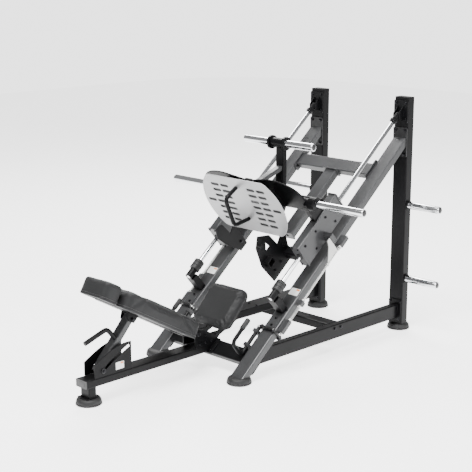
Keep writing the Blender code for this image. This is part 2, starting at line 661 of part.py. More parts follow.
def with_round_ends(slot):
    """Returns a straight slot's outline with a half circle at each end."""
    (u0, v0), (u1, _) = slot[0], slot[1]
    v1 = slot[2][1]
    middle, radius = (v0 + v1) / 2, abs(v0 - v1) / 2
    right = [(max(u0, u1) + radius * math.cos(a), middle + radius * math.sin(a))
             for a in (math.radians(-90 + 60 * k) for k in range(4))]
    left = [(min(u0, u1) - radius * math.cos(a), middle - radius * math.sin(a))
            for a in (math.radians(-90 + 60 * k) for k in range(4))]
    return right + left


def hoop_handle():
    """Bent round handle that stands off the footplate's middle towards the user."""
    front = 0.0110
    handle = Piece(RAIL)
    handle.bar([(0, foot_back(0.575) - front - GAP, 0.575), (0, 0.566, 0.590), (0, 0.512, 0.400),
                (0, foot_back(0.335) - front - GAP, 0.335)], 0.013, 0.035, 12)
    handle.finish("hoop_handle", BLACK)


def sled_weights():
    """Chrome weight horns at the sides and through the post's hub."""
    for name, side in SIDES:
        horn = Piece(RAIL)
        horn.rod((side * 0.4135, HORN_S, HORN_N), (side * HORN_TIP, HORN_S, HORN_N), HORN_RADIUS)
        horn.finish(name + "_weight_horn", CHROME)
    top = Piece()
    top.rod((-TOP_HORN_TIP, TOP_HORN_Y, TOP_HORN_Z), (TOP_HORN_TIP, TOP_HORN_Y, TOP_HORN_Z), HORN_RADIUS)
    top.finish("top_weight_horn", CHROME)


def sled_post():
    """Vertical post with the top hub, and the brace that ties it to the arch plate."""
    y, half = 0.398, 0.0175
    bore = HORN_RADIUS + GAP
    low_n = HOUSING_TOP + 0.040 + GAP
    foot_z = RAIL_Z + (low_n - RAIL_Y * math.sin(RAIL_ANGLE)) / math.cos(RAIL_ANGLE)
    post = Piece()
    post.ring((-0.053, TOP_HORN_Y, TOP_HORN_Z), (0.053, TOP_HORN_Y, TOP_HORN_Z), 0.032, bore)
    top = TOP_HORN_Z - 0.029
    post.prism("z", rounded(0.034, half, 0.006, 2, (0, y)), foot_z, top, slopes=(LEAN, 0))
    for _, side in SIDES:
        post.ring((side * 0.0525, TOP_HORN_Y, TOP_HORN_Z), (side * 0.0677, TOP_HORN_Y, TOP_HORN_Z), 0.044, bore)
    post.finish("sled_post", BLACK)
    start = RAIL @ Vector((0, ARCH_S + 0.004, 0.475))
    tilt = math.atan2(1.176 - start.z, y - half - start.y)
    brace = Piece(Matrix.Translation(start) @ Matrix.Rotation(tilt, 4, "X"))
    length = (y - half - start.y) / math.cos(tilt)
    brace.tube("y", (0, 0), 0.025, 0.015, GAP, length - GAP,
               slopes=(-math.tan(RAIL_ANGLE - tilt), math.tan(tilt)))
    brace.finish("sled_brace", GREY)


# ---- backrest and strut ---------------------------------------------------------------------------------------
STRUT_ANGLE = math.atan2(STRUT_TOP[1] - STRUT_FOOT[1], STRUT_TOP[0] - STRUT_FOOT[0])
STRUT = Matrix.Translation((0, *STRUT_FOOT)) @ Matrix.Rotation(STRUT_ANGLE, 4, "X")
STRUT_LENGTH = math.dist(STRUT_TOP, STRUT_FOOT)
SPINE = (-0.1165, -0.0860)       # underside and top of the backrest's spine tube


def back_point(place):
    """Returns a world place, as y and z, in the backrest's own frame."""
    local = BACK.inverted() @ Vector((0, *place))
    return local.y, local.z


def backrest():
    """Back pad and head pad on boards, carried by a spine tube with hinge lugs and strut brackets."""
    origin = (0, *HINGE)
    pad = Piece(BACK)
    pad.prism("z", rounded(0.165, 0.322, 0.050, 4, (0, -0.324)), -0.0730, -0.004)
    pad.finish("back_pad", LEATHER, origin)
    head = Piece(BACK)
    head.prism("z", rounded(0.120, 0.070, 0.040, 4, (0, -0.727)), -0.0730, 0.002)
    head.finish("head_pad", LEATHER, origin)
    frame = Piece(BACK)
    frame.tube("y", (0, sum(SPINE) / 2), 0.025, (SPINE[1] - SPINE[0]) / 2, -0.740, 0.005)
    frame.prism("z", rounded(0.140, 0.295, 0.030, 2, (0, -0.324)), SPINE[1] - WELD, -0.0735)
    frame.prism("z", rounded(0.095, 0.052, 0.030, 2, (0, -0.727)), SPINE[1] - WELD, -0.0735)
    hinge = back_point(HINGE)
    top = back_point(STRUT_TOP)
    eye = [(hinge[0] + 0.021 * math.cos(a), hinge[1] + 0.021 * math.sin(a))
           for a in (math.radians(v) for v in range(-70, 101, 34))]
    lug = [(-0.120, SPINE[0]), (0.000, SPINE[0]), *eye, (0.000, SPINE[1] - 0.001), (-0.120, SPINE[1] - 0.001)]
    ear = [(top[0] - 0.045, SPINE[1] + WELD), (top[0] - 0.022, top[1] - 0.018), (top[0] + 0.022, top[1] - 0.018),
           (top[0] + 0.045, SPINE[1] + WELD)]
    for _, side in SIDES:
        frame.prism("x", lug, *sorted((side * (0.025 - WELD), side * 0.0313)))
        frame.prism("x", ear, *sorted((side * 0.0330, side * 0.0390)), holes=[circle(0.0063, 12, top)])
    frame.frame = WORLD
    frame.rod((-0.064, *HINGE), (0.064, *HINGE), 0.0083, 12)
    frame.finish("backrest_frame", BLACK, origin)


def strut():
    """Support strut between the backrest and the quadrants, with its welded pins and bent handle."""
    origin = (0, *STRUT_TOP)
    tube = Piece(STRUT)
    tube.tube("y", (0, 0), 0.030, 0.020, -0.016, STRUT_LENGTH + 0.014)
    tube.frame = WORLD
    tube.rod((-0.044, *STRUT_TOP), (0.044, *STRUT_TOP), 0.006, 12)
    tube.rod((-0.055, *STRUT_FOOT), (0.055, *STRUT_FOOT), 0.0085, 16)
    for _, side in SIDES:
        tube.rod((side * (QUAD_OUT + 0.0008), *STRUT_FOOT), (side * 0.0555, *STRUT_FOOT), 0.014, 16)
    tube.finish("strut_tube", GREY, origin)
    handle = Piece(STRUT)
    handle.bar([(0.012, 0.200, 0.0225), (0.012, 0.212, 0.108), (0.012, 0.065, 0.192)], 0.014, 0.035, 12)
    handle.finish("strut_handle", BLACK, origin)


# ---- safety catches -------------------------------------------------------------------------------------------
def catches():
    """On each side a shaft with a hook plate that holds the sled, and the release lever."""
    low_n = CATCH_N + CATCH_RADIUS - WELD
    hook = [(0.650, low_n), (0.765, low_n), (0.765, 0.100), (0.738, 0.100), (0.722, 0.062)]
    for name, side in SIDES:
        x = side * CATCH_X
        catch = Piece(RAIL)
        catch.rod((x, 0.088, CATCH_N), (x, 0.885, CATCH_N), CATCH_RADIUS, 12)
        catch.prism("x", hook, x - 0.004, x + 0.004)
        for start in (0.192, 0.786):
            catch.rod((x, start, CATCH_N), (x, start + 0.012, CATCH_N), 0.012, 16)
        catch.finish(name + "_safety_catch", STEEL, RAIL @ Vector((x, 0.088, CATCH_N)))
        lever_x = side * LEVER_X
        lever = Piece(RAIL)
        lever.bar([(lever_x, 0.070, LEVER_N), (lever_x, -0.142, LEVER_N), (lever_x, -0.135, 0.128),
                   (lever_x, 0.045, 0.132)], LEVER_RADIUS, 0.028, 12)
        lever.finish(name + "_release_lever", BLACK, RAIL @ Vector((lever_x, 0, LEVER_N)))


def main():
    """Builds every piece, from the floor up."""
    clear_scene()
    feet()
    uprights()
    legs()
    rails()
    base_beams()
    cross_beams()
    centre_beam()
    seat_support()
    seat_pad()
    quadrants()
    guide_rods()
    storage_horns()
    sled_housings()
    sled_frame()
    footplate_frame()
    arch_plate()
    footplate()
    hoop_handle()
    sled_weights()
    sled_post()
    backrest()
    strut()
    catches()


main()
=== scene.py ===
"""The finished look of a leg press machine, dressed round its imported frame.

Metres, +Z up, +Y from the head rest towards the uprights. Every place is given in one of five frames: the world, the
rails (Y runs up the rails, Z stands off them), the seat, the backrest and the footplate.
"""

import json
import logging
import math
from collections.abc import Sequence
from dataclasses import dataclass
from enum import Enum

import bmesh
import bpy
from mathutils import Matrix, Vector
from mathutils.bvhtree import BVHTree


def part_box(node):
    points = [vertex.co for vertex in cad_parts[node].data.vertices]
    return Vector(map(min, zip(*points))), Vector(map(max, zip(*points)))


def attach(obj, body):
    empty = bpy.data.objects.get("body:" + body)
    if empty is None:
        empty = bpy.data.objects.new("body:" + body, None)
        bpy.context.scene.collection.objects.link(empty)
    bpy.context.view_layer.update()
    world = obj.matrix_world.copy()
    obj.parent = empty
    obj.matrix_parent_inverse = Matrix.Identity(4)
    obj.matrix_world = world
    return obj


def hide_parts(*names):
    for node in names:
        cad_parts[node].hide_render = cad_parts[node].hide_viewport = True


LOG = logging.getLogger("leg_press")

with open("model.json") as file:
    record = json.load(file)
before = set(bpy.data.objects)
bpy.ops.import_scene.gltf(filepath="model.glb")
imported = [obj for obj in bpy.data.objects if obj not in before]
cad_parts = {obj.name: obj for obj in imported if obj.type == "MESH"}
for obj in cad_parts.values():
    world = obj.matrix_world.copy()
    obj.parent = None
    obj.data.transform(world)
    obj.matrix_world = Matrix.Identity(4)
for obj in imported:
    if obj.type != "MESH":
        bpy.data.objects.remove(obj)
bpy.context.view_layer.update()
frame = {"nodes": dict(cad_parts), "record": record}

Point2 = tuple[float, float]
Point3 = tuple[float, float, float]
Colour = tuple[float, float, float]

SIDE_X = 0.3695                  # centre plane of each rail, leg and upright
ROD_X = 0.368
ROD_N = 0.1357                   # guide rod above the rails
RAIL_ANGLE = math.radians(40.025)
RAIL = Matrix.Translation((0, -0.162, 0.224)) @ Matrix.Rotation(RAIL_ANGLE, 4, "X")
BACK = Matrix.Translation((0, -0.432, 0.3472)) @ Matrix.Rotation(math.radians(-29.41), 4, "X")
SEAT = Matrix.Translation((0, -0.183, 0.390)) @ Matrix.Rotation(math.radians(46.3), 4, "X")
FOOT_TILT = math.radians(-11.6)
FOOTPLATE = RAIL @ Matrix.Translation((0, 0.6535, 0.435)) @ Matrix.Rotation(FOOT_TILT, 4, "X")
STRUT = Matrix.Translation((0, -1.132, 0.191)) @ Matrix.Rotation(math.atan2(0.256, 0.230), 4, "X")
WORLD = Matrix.Identity(4)
STAND = Matrix.Rotation(math.radians(90), 4, "X")                # an outline's second axis points up
SIDEWAYS = Matrix.Rotation(math.radians(90), 4, "Z") @ STAND     # and its first points along +Y
SIDES = (("left", -1), ("right", 1))


class Body(str, Enum):
    """The bodies that pieces ride on."""

    FRAME = "frame"
    SLED = "sled"
    BACKREST = "backrest"
    STRUT = "strut"
    LEFT_CATCH = "left_catch"
    RIGHT_CATCH = "right_catch"
    LEFT_LEVER = "left_lever"
    RIGHT_LEVER = "right_lever"


class Slot(str, Enum):
    """The record's material slots."""

    BLACK = "powder_black"
    GREY = "powder_grey"
    SILVER = "plate_silver"
    CHROME = "chrome"
    ZINC = "zinc_steel"
    RUBBER = "rubber"
    LEATHER = "leatherette"


class Axis(Enum):
    """The way a fastener or turned piece points, in its frame."""

    X = "X"
    Y = "Y"
    Z = "Z"

    def turn(self, sign: float = 1) -> Matrix:
        """Returns the rotation that takes +Z to this axis, or to its opposite for a negative sign."""
        if self is Axis.X:
            return Matrix.Rotation(math.radians(90 * sign), 4, "Y")
        if self is Axis.Y:
            return Matrix.Rotation(math.radians(-90 * sign), 4, "X")
        return Matrix.Rotation(0 if sign > 0 else math.pi, 4, "X")


DUST_ON_PAINT: Colour = (0.30, 0.295, 0.28)
DUST_ON_RUBBER: Colour = (0.35, 0.34, 0.32)
DUST_ON_LEATHER: Colour = (0.40, 0.39, 0.37)
PLATE_BLACK: Colour = (0.006, 0.006, 0.0065)     # flange plates on grey pieces
SHARP_ANGLE = math.radians(40)


# ---- shader node groups -----------------------------------------------------------------------------------------
class Group:
    """A shader node group under construction, with named inputs and outputs."""

    def __init__(self, name: str, inputs: dict[str, float], outputs: Sequence[str]) -> None:
        """Makes the group and its sockets; an output named Normal is a vector.

        Args:
            name: the group's name.
            inputs: each float input with its default.
            outputs: the outputs' names.
        """
        self.tree = bpy.data.node_groups.new(name, "ShaderNodeTree")
        for label, value in inputs.items():
            socket = self.tree.interface.new_socket(label, in_out="INPUT", socket_type="NodeSocketFloat")
            socket.default_value = value
        for label in outputs:
            kind = "NodeSocketVector" if label == "Normal" else "NodeSocketFloat"
            self.tree.interface.new_socket(label, in_out="OUTPUT", socket_type=kind)
        self.inputs = self.tree.nodes.new("NodeGroupInput").outputs
        self.outputs = self.tree.nodes.new("NodeGroupOutput").inputs

    def node(self, kind: str, links: dict | None = None, **settings: object) -> bpy.types.Node:
        """Adds a node to the group's tree, as add_node does."""
        return add_node(self.tree, kind, links, **settings)

    def maths(self, operation: str, *values: object, clamp: bool = False) -> bpy.types.NodeSocket:
        """Adds a Math node and returns its value."""
        made = self.node("Math", dict(enumerate(values)), operation=operation, use_clamp=clamp)
        return made.outputs[0]

    def put(self, name: str, socket: bpy.types.NodeSocket) -> None:
        """Links a socket to one of the group's outputs."""
        self.tree.links.new(socket, self.outputs[name])


def add_node(tree: bpy.types.NodeTree, kind: str, links: dict | None = None, **settings: object) -> bpy.types.Node:
    """Adds a node to a tree and fills its inputs.

    Args:
        tree: where the node goes.
        kind: the node's type without its ShaderNode prefix.
        links: what goes into each input, as a socket or a plain value.
        settings: properties of the node.

    Returns:
        The new node.
    """
    made = tree.nodes.new("ShaderNode" + kind)
    for label, value in settings.items():
        setattr(made, label, value)
    for label, value in (links or {}).items():
        if isinstance(value, bpy.types.NodeSocket):
            tree.links.new(value, made.inputs[label])
        else:
            made.inputs[label].default_value = value
    return made


def noise(group: Group, scale: object, detail: float = 3, stretch: Point3 = (1, 1, 1)) -> bpy.types.NodeSocket:
    """Adds a noise texture over the piece's own coordinates.

    Args:
        group: the group it is built in.
        scale: how fine it is, as a number or a socket.
        detail: how many octaves it has.
        stretch: the coordinates' scale along each axis.

    Returns:
        The noise's value.
    """
    place = group.node("TexCoord").outputs["Object"]
    if stretch != (1, 1, 1):
        place = group.node("Mapping", {"Vector": place, "Scale": stretch}).outputs[0]
    return group.node("TexNoise", {"Vector": place, "Scale": scale, "Detail": detail}).outputs[0]


def build_edge_wear() -> bpy.types.NodeTree:
    """Returns the group that rounds edges in the shading and finds where they are rubbed."""
    group = Group("edge_wear", {"Radius": 0.0015, "Amount": 0.5, "Patchiness": 30}, ("Mask", "Normal"))
    bevel = group.node("Bevel", {"Radius": group.inputs["Radius"]}, samples=4)
    flat = group.node("NewGeometry").outputs["Normal"]
    likeness = group.node("VectorMath", {0: bevel.outputs[0], 1: flat}, operation="DOT_PRODUCT").outputs["Value"]
    edge = group.maths("MULTIPLY", group.maths("SUBTRACT", 1.0, likeness), 6.0, clamp=True)
    patches = group.maths("SUBTRACT", noise(group, group.inputs["Patchiness"], 4), 0.42)
    rubbed = group.maths("MULTIPLY", group.maths("MULTIPLY", patches, 5.0, clamp=True), edge)
    group.put("Mask", group.maths("MULTIPLY", rubbed, group.inputs["Amount"], clamp=True))
    group.put("Normal", bevel.outputs[0])
    return group.tree


def build_powder_coat() -> bpy.types.NodeTree:
    """Returns the group with a powder coat's fine orange peel and its slow change of gloss."""
    group = Group("powder_coat", {"Peel Scale": 900, "Cloud Scale": 6, "Cloud Amount": 0.06}, ("Height", "Cloud"))
    fine = noise(group, group.inputs["Peel Scale"], 2)
    coarse = noise(group, group.maths("MULTIPLY", group.inputs["Peel Scale"], 0.3), 1)
    group.put("Height", group.maths("ADD", fine, group.maths("MULTIPLY", coarse, 0.8)))
    cloud = group.maths("SUBTRACT", noise(group, group.inputs["Cloud Scale"], 4), 0.5)
    group.put("Cloud", group.maths("MULTIPLY", cloud, group.inputs["Cloud Amount"]))
    return group.tree


def build_dust() -> bpy.types.NodeTree:
    """Returns the group that lays thin dust on faces that look up."""
    group = Group("dust", {"Amount": 0.1, "Scale": 18}, ("Mask",))
    normal = group.node("NewGeometry").outputs["Normal"]
    up = group.node("SeparateXYZ", {0: normal}).outputs["Z"]
    flat = group.maths("MULTIPLY", group.maths("SUBTRACT", up, 0.35), 1.6, clamp=True)
    patches = group.maths("MULTIPLY", noise(group, group.inputs["Scale"], 5), flat)
    group.put("Mask", group.maths("MULTIPLY", patches, group.inputs["Amount"], clamp=True))
    return group.tree


def build_end_plates() -> bpy.types.NodeTree:
    """Returns the group that finds the black flange plates welded to the grey rails and legs."""
    group = Group("end_plates", {"Flange Low": 0.0750, "Flange High": 0.0880, "Upright Face": 1.1560}, ("Mask",))
    place = group.node("SeparateXYZ", {0: group.node("TexCoord").outputs["Object"]}).outputs
    along = group.maths("MULTIPLY_ADD", group.maths("ADD", place["Y"], 0.162), math.cos(RAIL_ANGLE),
                        group.maths("MULTIPLY", group.maths("SUBTRACT", place["Z"], 0.224), math.sin(RAIL_ANGLE)))
    above = group.maths("GREATER_THAN", along, group.inputs["Flange Low"])
    below = group.maths("LESS_THAN", along, group.inputs["Flange High"])
    flange = group.maths("MULTIPLY", above, below)
    behind = group.maths("GREATER_THAN", place["Y"], group.inputs["Upright Face"])
    group.put("Mask", group.maths("MAXIMUM", flange, behind, clamp=True))
    return group.tree


def build_grain() -> bpy.types.NodeTree:
    """Returns the group with the pebbled grain and fine wrinkles of leatherette."""
    group = Group("pebble_grain", {"Pebble Scale": 420, "Wrinkle Scale": 45}, ("Height", "Tone"))
    place = group.node("TexCoord").outputs["Object"]
    cells = group.node("TexVoronoi", {"Vector": place, "Scale": group.inputs["Pebble Scale"]}).outputs["Distance"]
    pebble = group.maths("POWER", group.maths("SUBTRACT", 1.0, cells), 2.0)
    wrinkle = noise(group, group.inputs["Wrinkle Scale"], 6)
    group.put("Height", group.maths("ADD", pebble, group.maths("MULTIPLY", wrinkle, 0.7)))
    group.put("Tone", group.maths("SUBTRACT", noise(group, 5.0, 3), 0.5))
    return group.tree


def build_brushing() -> bpy.types.NodeTree:
    """Returns the group with the polishing lines that run round a turned bar, and its handling smears."""
    group = Group("polish_lines", {"Line Scale": 60, "Smear Scale": 9}, ("Height", "Smear"))
    group.put("Height", noise(group, group.inputs["Line Scale"], 3, (30, 1, 1)))
    group.put("Smear", group.maths("SUBTRACT", noise(group, group.inputs["Smear Scale"], 5), 0.45, clamp=True))
    return group.tree


# ---- finishes -----------------------------------------------------------------------------------------------------
class Workshop:
    """Holds the shared node groups and makes each finish's material once."""

    def __init__(self) -> None:
        """Builds the shared groups."""
        self.groups = {tree.name: tree for tree in (build_edge_wear(), build_powder_coat(), build_dust(),
                                                    build_grain(), build_brushing(), build_end_plates())}
        self.made: dict[str, bpy.types.Material] = {}

    def effect(self, tree: bpy.types.NodeTree, name: str, **values: float) -> bpy.types.Node:
        """Places a shared group in a material, with its own values (underscores stand for spaces)."""
        made = add_node(tree, "Group", node_tree=self.groups[name])
        for label, value in values.items():
            made.inputs[label.replace("_", " ")].default_value = value
        return made

    def material(self, finish: "Finish") -> bpy.types.Material:
        """Returns a finish's material, made on first use."""
        if finish.name not in self.made:
            self.made[finish.name] = finish.build(self)
        return self.made[finish.name]


@dataclass(frozen=True)
class Finish:
    """What every finish has."""

    name: str
    slot: Slot
    colour: Colour
    roughness: float

    def build(self, shop: Workshop) -> bpy.types.Material:
        """Makes the material."""
        material = bpy.data.materials.new(self.name)
        material.use_nodes = True
        self.fill(shop, material.node_tree, material.node_tree.nodes["Principled BSDF"])
        return material

    def fill(self, shop: Workshop, tree: bpy.types.NodeTree, shader: bpy.types.Node) -> None:
        """Links a material's nodes to its Principled shader.

        Args:
            shop: where the shared groups come from.
            tree: the material's nodes.
            shader: its Principled shader.
        """
        raise NotImplementedError


@dataclass(frozen=True)
class PaintFinish(Finish):
    """Powder coat with orange peel, rubbed edges and thin dust."""

    metallic: float = 0.0
    worn: Colour = (0.30, 0.30, 0.30)
    wear: float = 0.35
    dust: float = 0.10
    peel: float = 0.12
    specular: float = 0.5
    plates: bool = False

    def fill(self, shop: Workshop, tree: bpy.types.NodeTree, shader: bpy.types.Node) -> None:
        """Links the material's nodes."""
        edge = shop.effect(tree, "edge_wear", Radius=0.0016, Amount=self.wear, Patchiness=26)
        coat = shop.effect(tree, "powder_coat", Peel_Scale=850, Cloud_Scale=5, Cloud_Amount=0.25)
        dust = shop.effect(tree, "dust", Amount=self.dust, Scale=14)
        coloured = self.colour
        if self.plates:
            coloured = mix(tree, shop.effect(tree, "end_plates").outputs["Mask"], self.colour, PLATE_BLACK)
        rubbed = mix(tree, edge.outputs["Mask"], coloured, self.worn)
        tree.links.new(mix(tree, dust.outputs[0], rubbed, DUST_ON_PAINT), shader.inputs["Base Color"])
        rough = add_node(tree, "Math", {0: coat.outputs["Cloud"], 1: self.roughness}, operation="ADD")
        dusty = add_node(tree, "Math", {0: dust.outputs[0], 1: 0.5, 2: rough.outputs[0]}, operation="MULTIPLY_ADD")
        tree.links.new(dusty.outputs[0], shader.inputs["Roughness"])
        bump(tree, shader, coat.outputs["Height"], self.peel, 0.0004, edge.outputs["Normal"])
        shader.inputs["Metallic"].default_value = self.metallic
        shader.inputs["Specular IOR Level"].default_value = self.specular


@dataclass(frozen=True)
class MetalFinish(Finish):
    """Bare or plated metal with polishing lines and smears."""

    lines: float = 0.05
    smear: float = 0.12

    def fill(self, shop: Workshop, tree: bpy.types.NodeTree, shader: bpy.types.Node) -> None:
        """Links the material's nodes."""
        polish = shop.effect(tree, "polish_lines", Line_Scale=40, Smear_Scale=8)
        edge = shop.effect(tree, "edge_wear", Radius=0.0010, Amount=0.3, Patchiness=40)
        dull = tuple(channel * 0.72 for channel in self.colour)
        tree.links.new(mix(tree, polish.outputs["Smear"], self.colour, dull), shader.inputs["Base Color"])
        rough = add_node(tree, "Math", {0: polish.outputs["Smear"], 1: self.smear, 2: self.roughness},
                         operation="MULTIPLY_ADD")
        tree.links.new(rough.outputs[0], shader.inputs["Roughness"])
        bump(tree, shader, polish.outputs["Height"], self.lines, 0.0002, edge.outputs["Normal"])
        shader.inputs["Metallic"].default_value = 1.0


@dataclass(frozen=True)
class MouldedFinish(Finish):
    """Rubber or moulded plastic with a fine matt grain and dust."""

    grain: float = 0.25
    dust: float = 0.15

    def fill(self, shop: Workshop, tree: bpy.types.NodeTree, shader: bpy.types.Node) -> None:
        """Links the material's nodes."""
        coat = shop.effect(tree, "powder_coat", Peel_Scale=1400, Cloud_Scale=9, Cloud_Amount=0.3)
        dust = shop.effect(tree, "dust", Amount=self.dust, Scale=20)
        edge = shop.effect(tree, "edge_wear", Radius=0.0012, Amount=0.2, Patchiness=50)
        pale = tuple(min(1, channel * 3 + 0.02) for channel in self.colour)
        rubbed = mix(tree, edge.outputs["Mask"], self.colour, pale)
        tree.links.new(mix(tree, dust.outputs[0], rubbed, DUST_ON_RUBBER), shader.inputs["Base Color"])
        rough = add_node(tree, "Math", {0: coat.outputs["Cloud"], 1: self.roughness}, operation="ADD")
        tree.links.new(rough.outputs[0], shader.inputs["Roughness"])
        bump(tree, shader, coat.outputs["Height"], self.grain, 0.0004, edge.outputs["Normal"])


@dataclass(frozen=True)
class LeatherFinish(Finish):
    """Charcoal leatherette with pebbled grain."""

    bump_strength: float = 0.30

    def fill(self, shop: Workshop, tree: bpy.types.NodeTree, shader: bpy.types.Node) -> None:
        """Links the material's nodes."""
        grain = shop.effect(tree, "pebble_grain", Pebble_Scale=430, Wrinkle_Scale=40)
        dust = shop.effect(tree, "dust", Amount=0.03, Scale=10)
        tone = add_node(tree, "Math", {0: grain.outputs["Tone"], 1: 0.9, 2: 0.5}, operation="MULTIPLY_ADD")
        light = tuple(channel * 1.25 for channel in self.colour)
        toned = mix(tree, tone.outputs[0], self.colour, light)
        tree.links.new(mix(tree, dust.outputs[0], toned, DUST_ON_LEATHER), shader.inputs["Base Color"])
        rough = add_node(tree, "Math", {0: grain.outputs["Tone"], 1: 0.25, 2: self.roughness},
                         operation="MULTIPLY_ADD")
        tree.links.new(rough.outputs[0], shader.inputs["Roughness"])
        bump(tree, shader, grain.outputs["Height"], self.bump_strength, 0.0005)
        shader.inputs["Specular IOR Level"].default_value = 0.24
        shader.inputs["Sheen Weight"].default_value = 0.03
        shader.inputs["Sheen Roughness"].default_value = 0.45


def mix(tree: bpy.types.NodeTree, factor: object, first: object, second: object) -> bpy.types.NodeSocket:
    """Blends two colours by a mask.

    Args:
        tree: the material's nodes.
        factor: the mask.
        first: the colour where the mask is 0, as a socket or a colour.
        second: the colour where the mask is 1.

    Returns:
        The blended colour.
    """
    made = add_node(tree, "Mix", {0: factor}, data_type="RGBA")
    for index, value in ((6, first), (7, second)):
        if isinstance(value, bpy.types.NodeSocket):
            tree.links.new(value, made.inputs[index])
        else:
            made.inputs[index].default_value = (*value, 1)
    return made.outputs[2]


def bump(tree: bpy.types.NodeTree, shader: bpy.types.Node, height: bpy.types.NodeSocket, strength: float,
         distance: float, normal: bpy.types.NodeSocket | None = None) -> None:
    """Feeds a height through a Bump node into a shader's normal.

    Args:
        tree: the material's nodes.
        shader: the Principled shader.
        height: the height.
        strength: how strongly it shows.
        distance: how deep it is.
        normal: the smooth normal it starts from.
    """
    links = {"Height": height, "Strength": strength, "Distance": distance}
    if normal is not None:
        links["Normal"] = normal
    made = add_node(tree, "Bump", links)
    tree.links.new(made.outputs[0], shader.inputs["Normal"])


BLACK_PAINT = PaintFinish("black_powder_coat", Slot.BLACK, (0.0030, 0.0030, 0.0034), 0.36, worn=(0.05, 0.05, 0.05),
                          dust=0.015, specular=0.11)
GREY_PAINT = PaintFinish("grey_powder_coat", Slot.GREY, (0.036, 0.0365, 0.038), 0.32, metallic=0.15, wear=0.25,
                         worn=(0.11, 0.11, 0.115), dust=0.04, specular=0.36, plates=True)
SILVER_PAINT = PaintFinish("silver_plate_coat", Slot.SILVER, (0.33, 0.33, 0.335), 0.40, metallic=0.35, wear=0.2,
                           worn=(0.45, 0.45, 0.45), dust=0.03)
CHROME = MetalFinish("bright_chrome", Slot.CHROME, (0.78, 0.79, 0.81), 0.10, lines=0.03)
ZINC = MetalFinish("zinc_plated_steel", Slot.ZINC, (0.48, 0.48, 0.47), 0.30, lines=0.2, smear=0.2)
DARK_BOLT = MetalFinish("blackened_bolt", Slot.ZINC, (0.020, 0.020, 0.022), 0.30, lines=0.15)
RUBBER = MouldedFinish("moulded_rubber", Slot.RUBBER, (0.006, 0.006, 0.0065), 0.62, dust=0.03)
PLASTIC = MouldedFinish("black_end_cap", Slot.RUBBER, (0.006, 0.006, 0.0065), 0.42, grain=0.12, dust=0.03)
LEATHERETTE = LeatherFinish("charcoal_leatherette", Slot.LEATHER, (0.0085, 0.0087, 0.0092), 0.58)
THREAD = MouldedFinish("seam_piping", Slot.LEATHER, (0.008, 0.008, 0.009), 0.5, grain=0.3, dust=0.03)
LABEL = MouldedFinish("blank_label", Slot.SILVER, (0.80, 0.80, 0.78), 0.35, grain=0.02, dust=0.1)
LABEL_BAND = MouldedFinish("label_band", Slot.SILVER, (0.72, 0.20, 0.03), 0.35, grain=0.02, dust=0.1)

CAD_FINISHES = {Slot.BLACK: BLACK_PAINT, Slot.GREY: GREY_PAINT, Slot.SILVER: SILVER_PAINT, Slot.CHROME: CHROME,
                Slot.ZINC: ZINC, Slot.RUBBER: RUBBER, Slot.LEATHER: LEATHERETTE}


# ---- mesh building ------------------------------------------------------------------------------------------------
def bridge(mesh: bmesh.types.BMesh, first: Sequence[bmesh.types.BMVert], second: Sequence[bmesh.types.BMVert]) -> None:
    """Joins two closed rings by faces; a ring of one point stands for a tip."""
    count = max(len(first), len(second))
    for i in range(count):
        j = (i + 1) % count
        corners = dict.fromkeys((first[i % len(first)], first[j % len(first)], second[j % len(second)],
                                 second[i % len(second)]))
        if len(corners) > 2:
            mesh.faces.new(list(corners))


